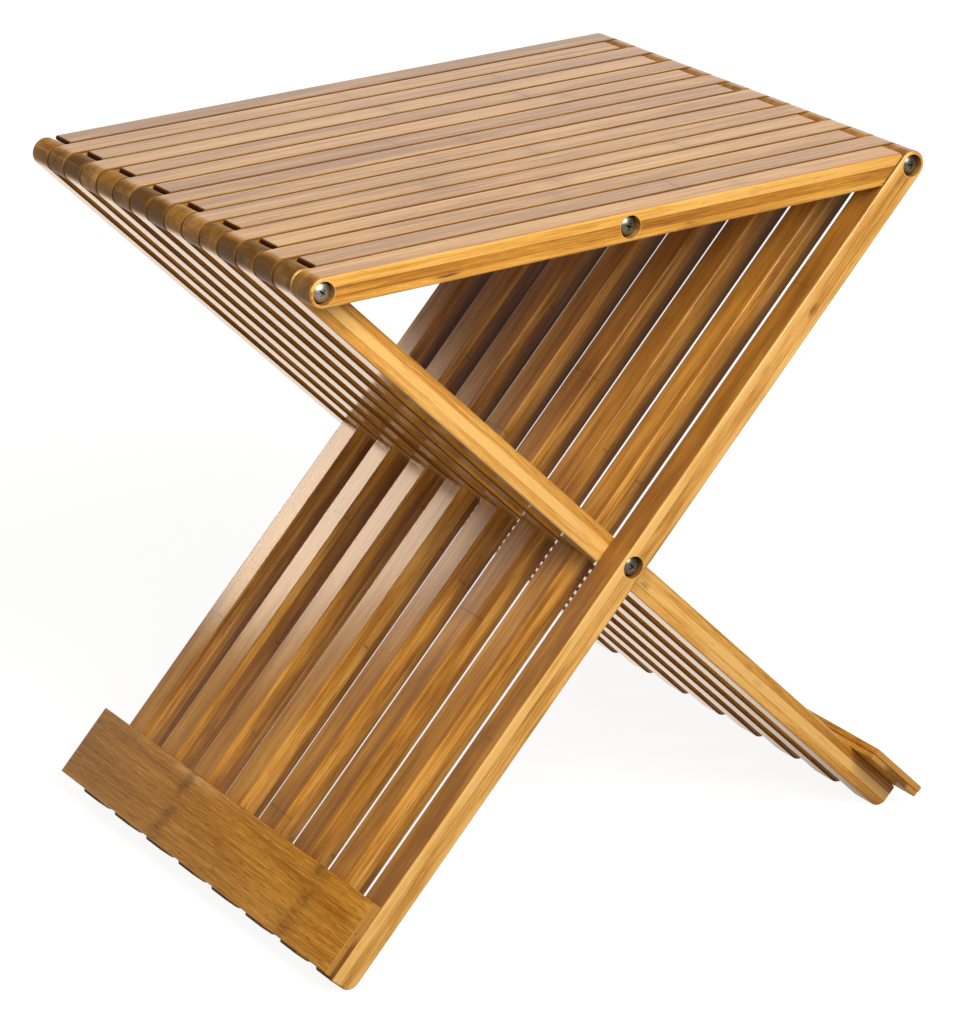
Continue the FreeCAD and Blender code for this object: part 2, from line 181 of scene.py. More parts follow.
def least(wires: Sequence[Wire]) -> Wire:
    """Return the least of some wires."""
    return reduce(Wire.at_most, wires)


Socketed = Union[Wire, float, Sequence[float]]


class Graph:
    """A node tree that is filled by expressions."""

    def __init__(self, tree: bpy.types.NodeTree) -> None:
        """Empty the tree and keep it."""
        tree.nodes.clear()
        self.tree = tree

    def node(self, kind: str, settings: Optional[Dict[str, Any]] = None,
             inputs: Optional[Dict[Union[str, int], Socketed]] = None) -> bpy.types.Node:
        """Add a node.

        Args:
            kind: the node's type.
            settings: its properties, and a ramp's stops, which are set first.
            inputs: values or wires for its sockets, by name or number.

        Returns:
            The node.
        """
        node = self.tree.nodes.new(kind)
        for name, setting in (settings or {}).items():
            if name == "stops":
                self.set_stops(node.color_ramp, setting)
            else:
                setattr(node, name, setting)
        for name, given in (inputs or {}).items():
            if isinstance(given, Wire):
                self.tree.links.new(given.socket, node.inputs[name])
            else:
                node.inputs[name].default_value = given
        return node

    @staticmethod
    def set_stops(ramp: bpy.types.ColorRamp, stops: Stops) -> None:
        """Give a ramp its stops.

        Args:
            ramp: the ramp of a new node.
            stops: places from 0 to 1, each with its colour.
        """
        while len(ramp.elements) < len(stops):
            ramp.elements.new(1.0)
        for element, (place, colour) in zip(ramp.elements, stops):
            element.position = place
            element.color = colour.full()

    def add(self, kind: str, settings: Optional[Dict[str, Any]] = None,
            inputs: Optional[Dict[Union[str, int], Socketed]] = None, output: Union[str, int] = 0) -> Wire:
        """Add a node and return one of its outputs.

        Args:
            kind: the node's type.
            settings: its properties, set first.
            inputs: values or wires for its sockets.
            output: the wanted output, by name or number.

        Returns:
            That output as a wire.
        """
        return Wire(self, self.node(kind, settings, inputs).outputs[output])

    def math(self, operation: str, *values: Number) -> Wire:
        """Add a Math node.

        Args:
            operation: the node's operation.
            values: its one or two operands.

        Returns:
            The result.
        """
        return self.add("ShaderNodeMath", {"operation": operation}, dict(enumerate(values)))

    def mix(self, under: Socketed, over: Socketed, share: Number) -> Wire:
        """Mix two colours.

        Args:
            under: the colour at share 0.
            over: the colour laid over it.
            share: how much of the second colour shows.

        Returns:
            The mixed colour.
        """
        settings = {"data_type": "RGBA", "clamp_factor": True}
        inputs = {MIX_SHARE: share, MIX_UNDER: under, MIX_OVER: over}
        return self.add("ShaderNodeMix", settings, inputs, MIX_RESULT)

    def lay_over(self, under: Socketed, coats: Sequence[Tuple[Colour, Wire]]) -> Socketed:
        """Lay colours over one another.

        Args:
            under: the first colour.
            coats: the colours over it in order, each with its share.

        Returns:
            The colour that shows.
        """
        for colour, share in coats:
            under = self.mix(under, colour.full(), share)
        return under

    def split(self, vector: Wire) -> Tuple[Wire, Wire, Wire]:
        """Return a vector's three parts."""
        node = self.node("ShaderNodeSeparateXYZ", None, {"Vector": vector})
        return Wire(self, node.outputs["X"]), Wire(self, node.outputs["Y"]), Wire(self, node.outputs["Z"])

    def join(self, x: Number, y: Number, z: Number) -> Wire:
        """Return a vector of three parts."""
        return self.add("ShaderNodeCombineXYZ", None, {"X": x, "Y": y, "Z": z})

    def chance(self, key: Number) -> Tuple[Wire, Wire, Wire]:
        """Return three fixed chance numbers from 0 to 1 for a key."""
        colour = self.add("ShaderNodeTexWhiteNoise", {"noise_dimensions": "1D"}, {"W": key}, "Color")
        return self.split(colour)

    def noise(self, place: Wire, fineness: Fineness) -> Wire:
        """Return a smooth noise round 0, about -0.5 to 0.5.

        Args:
            place: where the noise is read, one cell per unit.
            fineness: its finer layers.

        Returns:
            The noise.
        """
        inputs = {"Vector": place, "Scale": 1.0, "Detail": fineness.detail, "Roughness": fineness.roughness}
        return self.add("ShaderNodeTexNoise", {"noise_dimensions": "3D"}, inputs).centred()


def new_graph(name: str) -> Tuple[bpy.types.Material, Graph]:
    """Make an empty procedural material.

    Args:
        name: the material's name.

    Returns:
        The material and the graph of its nodes.
    """
    material = bpy.data.materials.new(name)
    material.use_nodes = True
    return material, Graph(material.node_tree)


@dataclass(frozen=True)
class StoolSizes:
    """The sizes that the pieces and the finishes share, in metres."""

    half_span: float
    pivot_height: float
    cross_height: float
    free_end: float
    foot_reach: float = 0.2842
    slots: int = 16
    pitch: float = 0.020
    slat_width: float = 0.0194
    slat_thickness: float = 0.017

    @classmethod
    def from_frame(cls) -> "StoolSizes":
        """Return the sizes, with the places of the rods read from the frame."""
        right = middle_of("right_seat_rod")
        return cls(right.x, right.z, middle_of("cross_rod").z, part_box("seat_slat_01")[1].x)

    @property
    def leg_angle(self) -> float:
        """How far a leg leans from upright, in radians."""
        return math.atan2(self.half_span, self.pivot_height - self.cross_height)

    @property
    def leg_upper(self) -> float:
        """The length of a leg from its seat rod to the cross rod."""
        return math.hypot(self.half_span, self.pivot_height - self.cross_height)

    @property
    def leg_length(self) -> float:
        """The length of a leg from its seat rod to its foot."""
        return self.leg_upper + self.foot_reach

    @property
    def half_stack(self) -> float:
        """Half of all the slots' pitches together."""
        return self.pitch * self.slots / 2

    @property
    def half_depth(self) -> float:
        """Half the depth from the nearest slat's face to the farthest's."""
        return self.half_stack - (self.pitch - self.slat_width) / 2


def middle_of(node: str) -> Vector:
    """Return the middle of a CAD node's box."""
    low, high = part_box(node)
    return (low + high) / 2


SIZES = StoolSizes.from_frame()


class Run(Enum):
    """The sets of slats, by where their grain runs."""

    SEAT = "seat"
    LEFT_FOOT = "left foot"
    RIGHT_FOOT = "right foot"

    def origin(self) -> Tuple[float, float, float]:
        """Return the place that the set's pattern is measured from."""
        side = {Run.SEAT: 0.0, Run.LEFT_FOOT: 1.0, Run.RIGHT_FOOT: -1.0}[self]
        return (side * SIZES.half_span, 0.0, SIZES.pivot_height)

    def turn(self) -> Tuple[float, float, float]:
        """Return the turn that lays X along the grain and Z across the slat's thickness."""
        lean = {Run.LEFT_FOOT: SIZES.leg_angle, Run.RIGHT_FOOT: -SIZES.leg_angle}
        return (0.0, QUARTER_TURN + lean[self] if self in lean else 0.0, 0.0)

    def outside(self) -> float:
        """Return 1 or -1, the sign of Z towards the stool's outside on a leg."""
        return -1.0 if self is Run.LEFT_FOOT else 1.0

    def to_world(self, place: Sequence[float]) -> Vector:
        """Return a place that is given along, across and through the slat in the stool's frame."""
        return Vector(self.origin()) + Euler(self.turn()).to_matrix() @ Vector(place)


@dataclass(frozen=True)
class Layer:
    """One scale of the grain: its changes per metre along and across the fibres, and its share."""

    along: float
    across: float
    share: float
    fineness: Fineness = Fineness(2.0, 0.55)

    def noise(self, graph: Graph, along: Wire, across: Wire, deep: Wire) -> Wire:
        """Add the layer.

        Args:
            graph: the material's nodes.
            along: the place along the fibres.
            across: the place across them.
            deep: the place through the thickness.

        Returns:
            The layer's noise round 0.
        """
        place = graph.join(along * self.along, across * self.across, deep * self.across)
        return graph.noise(place, self.fineness)


@dataclass(frozen=True)
class Palette:
    """The bamboo's colours from its darkest streaks to its palest, and the tones of those between."""

    deep: Colour
    middle: Colour
    light: Colour
    pale: Colour
    middle_at: float = 0.36
    light_at: float = 0.66

    def stops(self) -> Stops:
        """Return the stops of a ramp over the tone."""
        between = ((self.middle_at, self.middle), (self.light_at, self.light))
        return ((0.0, self.deep), *between, (1.0, self.pale))


GOLDEN = Palette(Colour(0.290, 0.104, 0.010), Colour(0.490, 0.200, 0.021),
                 Colour(0.680, 0.315, 0.046), Colour(0.800, 0.430, 0.105))
STRAW = Palette(Colour(0.300, 0.115, 0.016), Colour(0.500, 0.222, 0.036),
                Colour(0.680, 0.340, 0.074), Colour(0.810, 0.460, 0.135))
HONEY = Palette(GOLDEN.deep, GOLDEN.middle, Colour(0.690, 0.325, 0.056), Colour(0.830, 0.480, 0.140))


@dataclass(frozen=True)
class Varnish:
    """The clear satin varnish over the bamboo, and how little the wood shines without it."""

    index: float = 1.45
    rough: float = 0.16
    share: float = 1.0
    bare_gloss: float = 0.10
    bare_rough: float = 0.42


@dataclass(frozen=True)
class Grain:
    """The bamboo's own pattern at one place, as wires."""

    fibre: Wire
    hair: Wire
    drift: Wire
    tone: Wire


@dataclass(frozen=True)
class Bamboo:
    """Varnished laminated bamboo, with what its pattern adds to the roughness and the height."""

    name: str
    run: Run
    seed: float
    palette: Palette = GOLDEN
    varnish: Varnish = Varnish()
    mark: Colour = Colour(0.130, 0.045, 0.008)
    # Dark of the glue seams between plies; the slats also lay it on as painted shade.
    seam: Colour = Colour(0.105, 0.038, 0.008)
    fibre: Layer = Layer(22.0, 900.0, 0.55)
    hair: Layer = Layer(70.0, 2300.0, 0.45)
    streak: Layer = Layer(3.5, 330.0, 0.60)
    drift: Layer = Layer(9.0, 70.0, 0.70)
    dash: Layer = Layer(95.0, 1500.0, 0.22)
    dash_from: Step = Step(0.06, 0.26)
    fibre_rough: float = 0.14
    joint_rough: float = 0.10
    dry_rough: float = 0.3
    fibre_height: float = 0.6
    hair_height: float = 0.5
    joint_height: float = 0.4
    bump: float = 0.22
    bump_height: float = 0.00010

    def place(self, graph: Graph) -> Tuple[Wire, Wire, Wire]:
        """Find a place on the set of slats.

        Args:
            graph: the material's nodes.

        Returns:
            The place along the slat, along the rods and through the thickness.
        """
        place = graph.add("ShaderNodeTexCoord", output="Object")
        inputs = {"Vector": place, "Location": self.run.origin(), "Rotation": self.run.turn()}
        return graph.split(graph.add("ShaderNodeMapping", {"vector_type": "TEXTURE"}, inputs))

    def grain(self, graph: Graph, along: Wire, across: Wire, deep: Wire) -> Grain:
        """Add the pattern of fibres.

        Args:
            graph: the material's nodes.
            along: the place along the fibres.
            across: the place across them.
            deep: the place through the thickness.

        Returns:
            The pattern, with its tone round 0.
        """
        where = (graph, along, across, deep)
        fibre = self.fibre.noise(*where)
        hair = self.hair.noise(*where)
        streak = self.streak.noise(*where)
        drift = self.drift.noise(*where)
        dash = self.dash.noise(*where).rise(*self.dash_from)
        tone = (fibre * self.fibre.share + hair * self.hair.share + streak * self.streak.share
                + drift * self.drift.share - dash * self.dash.share)
        return Grain(fibre, hair, drift, tone)

    def wood(self, graph: Graph, tone: Wire, palette: Palette) -> Wire:
        """Return the wood's colour for a tone from 0 to 1."""
        return graph.add("ShaderNodeValToRGB", {"stops": palette.stops()}, {"Fac": tone}, "Color")

    def relief(self, grain: Grain, line: Wire) -> Tuple[Wire, Wire]:
        """Return what the fibres and the stem joints' lines add to the roughness, and their height."""
        height = self.fibre_height * grain.fibre + self.hair_height * grain.hair - self.joint_height * line
        return self.fibre_rough * grain.fibre + self.joint_rough * line, height

    def finish(self, graph: Graph, wood: Wire, bare: Wire, rough: Wire, height: Wire) -> None:
        """Add the varnished surface.

        Args:
            graph: the material's nodes.
            wood: the colour.
            bare: 1 where the wood drank the varnish, as on end grain.
            rough: what is added to the wood's roughness.
            height: the height of the fibres and joints.
        """
        inputs = {"Height": height, "Strength": self.bump, "Distance": self.bump_height}
        bump = graph.add("ShaderNodeBump", None, inputs)
        inputs = {
            "Base Color": wood,
            "Roughness": self.varnish.bare_rough + rough + self.dry_rough * bare,
            "Normal": bump,
            "Specular IOR Level": self.varnish.bare_gloss,
            "Coat Weight": self.varnish.share * (1.0 - bare),
            "Coat Roughness": self.varnish.rough,
            "Coat IOR": self.varnish.index,
        }
        surface = graph.add("ShaderNodeBsdfPrincipled", None, inputs)
        graph.node("ShaderNodeOutputMaterial", None, {"Surface": surface})


@dataclass(frozen=True)
class Spot:
    """A ragged stem joint on the nearest slat's side, by its place along and through the slat."""

    along: float
    deep: float
    strength: float = 0.5
    half_length: float = 0.006
    half_height: float = 0.0035
    fray: float = 0.8
    fade: Step = Step(0.2, 1.1)
    fleck_gain: float = 2.0
    flecks: Step = Step(-0.35, 0.35)
    gain: float = 4.0

    def shade(self, along: Wire, deep: Wire, grain: Grain) -> Wire:
        """Add the joint's shade.

        Args:
            along: the place along the slat.
            deep: the place through its thickness.
            grain: the pattern of fibres.

        Returns:
            The shade, 0 away from the joint.
        """
        length = (along - self.along) / self.half_length + grain.fibre * self.fray
        height = (deep - self.deep) / self.half_height
        reach = (length * length + height * height).root()
        ragged = (grain.hair * self.fleck_gain + grain.fibre * self.fleck_gain).rise(*self.flecks)
        return (1.0 - reach.rise(*self.fade)) * self.strength * ragged * self.gain


@dataclass(frozen=True)
class SlatPlace:
    """Where a place lies on its slat, and the slat's and the ply's chance numbers, as wires."""

    along: Wire
    side: Wire
    deep: Wire
    row: Wire
    lamina: Wire
    ply: Wire
    near: Wire
    on_side: Wire
    slat_tone: Wire
    slat_hue: Wire
    ply_tone: Wire
    ply_node: Wire
    ply_lean: Wire

    @property
    def on_face(self) -> Wire:
        """1 on the slat's faces and 0 on its sides."""
        return 1.0 - self.on_side

    @property
    def elsewhere(self) -> Wire:
        """0 on the near side of the nearest slat and 1 elsewhere."""
        return 1.0 - self.near


@dataclass(frozen=True)
class SlatMarks:
    """The marks on a slat, as wires from 0 to 1; some of them are painted highlight and shade."""

    edge: Wire
    gap_shade: Wire
    end: Wire
    cut: Wire
    seam: Wire
    sink: Wire
    rim_light: Wire
    line: Wire
    halo: Wire


@dataclass(frozen=True)
class SlatBamboo(Bamboo):
    """The slats' bamboo, glued up from three plies.

    The near fields hold what the nearest slat's side shows. A field that ends in from or clear is
    where a mark starts, and one that ends in share, dark or pale is how much of a colour is laid on.
    """

    near_row: int = 0
    near_palette: Palette = GOLDEN
    near_plies: Tuple[float, float, float] = (0.0, 0.0, 0.0)
    near_lean: float = 0.25
    near_halo: float = 0.14
    near_seam: float = 0.6
    spots: Tuple[Spot, ...] = ()
    # A pink tint laid on the faces in patches; on the seat it also paints part of the varnish's sheen.
    rosy_and_sheen: Colour = Colour(0.590, 0.330, 0.150)
    # Nearly black painted shade inside the sinks and holes, where the wood is also left bare.
    sink: Colour = Colour(0.030, 0.016, 0.008)
    # The round ends' dark: end grain, and partly painted shade.
    end: Colour = Colour(0.168, 0.075, 0.014)
    # The cut ends' dark: end grain, and partly painted shade.
    cut: Colour = Colour(0.230, 0.112, 0.028)
    rosy_and_sheen_share: float = 0.04
    rosy_least: float = 0.5
    rosy_drift: float = 1.6
    # Painted highlight along the slats' eased edges.
    edge_highlight_pale: float = 0.10
    # How dark the painted shade in the gaps between slats is, laid on their rounded edges.
    gap_shade_dark: float = 0.0
    edge_from: Step = Step(0.0015, 0.0006)
    edge_clear: Step = Step(0.0066, 0.0078)
    edge_side: float = 0.7
    side_from: Step = Step(0.0012, 0.0003)
    # Where the painted shade of the gaps lies on the rounded edges.
    gap_shade_from: Step = Step(0.0011, 0.0004)
    gap_shade_clear: Step = Step(0.0070, 0.0076)
    end_share: float = 0.18
    end_drift: float = 1.4
    end_spread: float = 1.5
    end_bare: float = 0.75
    round_from: Step = Step(0.0012, 0.0056)
    right_half: Step = Step(-0.01, 0.01)
    right_shift: float = 0.0034
    free_cut: Step = Step(0.0014, 0.0004)
    foot_cut: Step = Step(0.0022, 0.0010)
    below_cross: Step = Step(-0.06, 0.04)
    far_rows: Step = Step(3.0, 11.0)
    # Painted light on the leg faces: below the cross rod in the far rows, and above the cross rod, in place
    # of sheen.
    painted_foot_light: float = 0.0
    painted_head_light: float = 0.0
    # Painted shade on the slats' sides, darker towards the leg's inner face, and how much of it goes below
    # the cross rod.
    inner_shade: float = 0.0
    foot_light: float = 0.9
    joint_dark: float = 0.45
    halo_share: float = 0.16
    face_contrast: float = 1.0
    side_contrast: float = 1.5
    face_tone: float = 0.5
    side_tone: float = 0.5
    slat_spread: float = 0.30
    slat_offset: Tuple[float, float] = (0.71, 0.37)
    ply_spread: float = 0.42
    ply_lean: float = 0.5
    ply_offset: Tuple[float, float] = (1.3, 0.53)
    ply_key: float = 11.0
    plies: int = 3
    glue_shift: float = 0.0012
    seam_width: float = 0.06
    seam_share: float = 0.34
    seam_height: float = 0.8
    half_face: float = SIZES.slat_width / 2
    sink_radius: float = 0.0066
    sink_edge: float = 0.0003
    sink_rough: float = 0.3
    # A painted highlight ring round each sink, on the sides, and how strong it is.
    rim_highlight_from: Step = Step(0.0001, 0.0008)
    rim_highlight_pale: float = 0.5
    node_gap: float = 0.31
    wobble_rate: float = 110.0
    wobble_key: float = 9.0
    wobble_fineness: Fineness = Fineness(2.0, 0.6)
    wobble_length: float = 0.0022
    line_from: Step = Step(0.0002, 0.0013)
    line_wobble: float = 0.5
    line_fibres: Step = Step(-0.2, 0.3)
    halo_from: Step = Step(0.0005, 0.013)

    def pivots(self) -> Tuple[float, ...]:
        """Return where the rods cross the slat, along its grain."""
        seat = (-SIZES.half_span, 0.0, SIZES.half_span)
        return seat if self.run is Run.SEAT else (0.0, SIZES.leg_upper)

    def make(self) -> bpy.types.Material:
        """Build the material.

        Returns:
            The finished material.
        """
        material, graph = new_graph(self.name)
        at = self.find(graph)
        slat_along, slat_across = self.slat_offset
        ply_along, ply_deep = self.ply_offset
        along = at.along + at.row * slat_along + at.ply * ply_along
        grain = self.grain(graph, along, at.side + at.row * slat_across, at.deep + at.ply * ply_deep)
        marks = self.marks(graph, at, grain)
        rough, height = self.relief(grain, marks.line)
        rough = rough + self.sink_rough * marks.sink
        height = height - self.seam_height * marks.seam
        bare = (marks.end * self.end_bare + marks.cut + marks.gap_shade + marks.sink).at_most(1.0)
        self.finish(graph, self.colour(graph, at, grain, marks), bare, rough, height)
        return material

    def find(self, graph: Graph) -> SlatPlace:
        """Find a place on its slat.

        Args:
            graph: the material's nodes.

        Returns:
            The place.
        """
        along, rods, deep = self.place(graph)
        row = ((rods + SIZES.half_stack) / SIZES.pitch).floor()
        side = rods + SIZES.half_stack - (row + MIDDLE) * SIZES.pitch
        slat_tone, slat_hue, slat_shift = graph.chance(row + self.seed)
        shifted = deep + slat_shift.centred() * self.glue_shift
        lamina = shifted / SIZES.slat_thickness * self.plies + self.plies / 2
        ply = lamina.floor().at_least(0.0).at_most(self.plies - 1.0)
        ply_tone, ply_node, ply_lean = graph.chance(row * self.plies + ply + self.seed * self.ply_key)
        near = (1.0 - abs(row - self.near_row)).at_least(0.0) * side.rise(0.0, -self.half_face)
        on_side = abs(side).rise_before(self.half_face, self.side_from)
        return SlatPlace(along, side, deep, row, lamina, ply, near, on_side,
                         slat_tone, slat_hue, ply_tone, ply_node, ply_lean)

    def marks(self, graph: Graph, at: SlatPlace, grain: Grain) -> SlatMarks:
        """Find the marks at a place.

        Args:
            graph: the material's nodes.
            at: the place.
            grain: the pattern of fibres.

        Returns:
            The marks.
        """
        beyond, rounded, cut = self.ends(at.along, at.row)
        radius = (beyond.at_least(0.0) ** 2.0 + at.deep * at.deep).root()
        out = abs(at.side)
        # Painted highlight along the eased edges, weaker on the sides.
        edge = out.rise_before(self.half_face, self.edge_from) * (1.0 - at.on_side * self.edge_side)
        # Painted shade in the gaps between slats, on the rounded edges, not on the nearest slat's side.
        gap_shade = out.rise_before(self.half_face, self.gap_shade_from) * radius.rise(*self.gap_shade_clear)
        axis = least([((at.along - pivot) ** 2.0 + at.deep * at.deep).root() for pivot in self.pivots()])
        line, halo = self.joint(graph, at, grain)
        return SlatMarks(
            edge=edge * radius.rise(*self.edge_clear),
            gap_shade=gap_shade * at.elsewhere * self.gap_shade_dark,
            end=rounded * at.on_face,
            cut=cut,
            seam=1.0 - abs(abs(at.lamina - self.plies / 2).centred()).rise(0.0, self.seam_width),
            # Painted shade inside the sinks and holes.
            sink=1.0 - axis.rise(self.sink_radius - self.sink_edge, self.sink_radius),
            # A painted highlight ring round each sink.
            rim_light=(1.0 - (axis - self.sink_radius).rise(*self.rim_highlight_from)) * at.on_side,
            line=line * at.elsewhere,
            halo=halo * at.elsewhere + self.near_joints(at, grain) * at.near)

    def ends(self, along: Wire, row: Wire) -> Tuple[Wire, Wire, Wire]:
        """Find the slat's ends.

        Args:
            along: the place along the slat.
            row: the slat's number.

        Returns:
            How far the place lies past the seat rod, and the masks of the round and the cut end.
        """
        if self.run is Run.SEAT:
            beyond = abs(along) - SIZES.half_span
            towards = 1.0 - 2.0 * (row - 2.0 * (row / 2.0).floor())
            # The round ends are painted dark as end grain and partly as shade; on the right ends the dark
            # starts further out, so the left ends are darker.
            rounded = (beyond - self.right_shift * along.rise(*self.right_half)).rise(*self.round_from)
            return beyond, rounded, (along * towards).rise_before(SIZES.free_end, self.free_cut)
        beyond = along * -1.0
        return beyond, beyond.rise(*self.round_from), along.rise_before(SIZES.leg_length, self.foot_cut)

    def joint(self, graph: Graph, at: SlatPlace, grain: Grain) -> Tuple[Wire, Wire]:
        """Add the joints of the bamboo stem that cross each ply at a chance place.

        Args:
            graph: the material's nodes.
            at: the place on the slat.
            grain: the pattern of fibres.

        Returns:
            The thin dark line of the joint, and the soft shade on both its sides.
        """
        across = at.side * self.wobble_rate + at.row
        place = graph.join(across, at.deep * self.wobble_rate, at.ply_node * self.wobble_key)
        wobble = graph.noise(place, self.wobble_fineness)
        gap = (at.along / self.node_gap + at.ply_node).fraction().centred() * self.node_gap
        reach = abs(gap + wobble * self.wobble_length)
        broken = (grain.hair + self.line_wobble * wobble).rise(*self.line_fibres)
        return (1.0 - reach.rise(*self.line_from)) * broken, 1.0 - reach.rise(*self.halo_from)

    def near_joints(self, at: SlatPlace, grain: Grain) -> Wire:
        """Add the stem joints that show on the nearest slat's side.

        Args:
            at: the place on the slat.
            grain: the pattern of fibres.

        Returns:
            Their shade.
        """
        shade = grain.hair * 0.0
        for spot in self.spots:
            shade = shade + spot.shade(at.along, at.deep, grain)
        return shade

    def known_ply(self, ply: Wire) -> Wire:
        """Return the tone of the nearest slat's plies, which the photograph shows."""
        first, second, third = self.near_plies
        return first + (second - first) * ply.at_most(1.0) + (third - second) * (ply - 1.0).at_least(0.0)

    def tone(self, at: SlatPlace, grain: Grain, lower: Wire) -> Wire:
        """Find the wood's tone, with painted light on some faces.

        Args:
            at: the place on the slat.
            grain: the pattern of fibres.
            lower: 1 on a leg below the cross rod.

        Returns:
            The tone, from 0 to 1 where it isn't clipped.
        """
        lean = at.lamina.fraction().centred() * at.ply_lean.centred()
        chance_ply = self.ply_spread * at.ply_tone.centred() + lean * self.ply_lean
        known_ply = self.known_ply(at.ply) + lean * self.near_lean
        ply = chance_ply + (known_ply - chance_ply) * at.near
        side = self.side_tone + ply + grain.tone * self.side_contrast
        face = self.face_tone + self.slat_spread * at.slat_tone.centred() + grain.tone * self.face_contrast
        # Painted light: faces of the far rows below the cross rod and faces above it are made lighter.
        painted_light = lower * at.row.rise(*self.far_rows) * self.painted_foot_light + (1.0 - lower) * self.painted_head_light
        return face + (side - face) * at.on_side + painted_light * at.on_face

    def colour(self, graph: Graph, at: SlatPlace, grain: Grain, marks: SlatMarks) -> Wire:
        """Find the wood's colour with its marks, painted highlight and shade among them.

        Args:
            graph: the material's nodes.
            at: the place on the slat.
            grain: the pattern of fibres.
            marks: the marks at the place.

        Returns:
            The colour.
        """
        lower = (at.along - SIZES.leg_upper).rise(*self.below_cross)
        tone = self.tone(at, grain, lower)
        tone_wood = self.wood(graph, tone, self.palette)
        wood = graph.mix(tone_wood, self.wood(graph, tone, self.near_palette), at.near)
        blush = (self.rosy_least + at.slat_hue + self.rosy_drift * grain.drift).at_least(0.0)
        halo = marks.halo * (self.halo_share + self.near_halo * at.near)
        # Painted shade: the sides darken towards the leg's inner face, less below the cross rod, not on the
        # nearest slat's side.
        inward = MIDDLE - at.deep * (self.run.outside() / SIZES.slat_thickness)
        shade = inward * at.on_side * at.elsewhere * self.inner_shade * (1.0 - self.foot_light * lower)
        wood = graph.lay_over(wood, (
            # Pink tint on the faces, partly painted sheen on the seat.
            (self.rosy_and_sheen, at.on_face * blush * self.rosy_and_sheen_share),
            (self.mark, marks.line * self.joint_dark + halo),
            (self.seam, marks.seam * self.seam_share * (1.0 - at.near * self.near_seam)),
            (self.seam, shade)))
        # Dark end grain on the round ends, partly painted shade.
        clear = self.end_share + self.end_drift * grain.drift + self.end_spread * at.slat_hue.centred()
        wood = graph.mix(wood, graph.mix(self.end.full(), wood, clear), marks.end)
        return graph.lay_over(wood, (
            # The cut ends are dark end grain, partly painted shade.
            (self.cut, marks.cut * at.on_face),
            # Painted highlight on the eased edges and round the sinks.
            (self.palette.pale, marks.edge * self.edge_highlight_pale + marks.rim_light * self.rim_highlight_pale),
            # Painted shade in the gaps between slats.
            (self.seam, marks.gap_shade),
            # Painted shade in the sinks.
            (self.sink, marks.sink)))


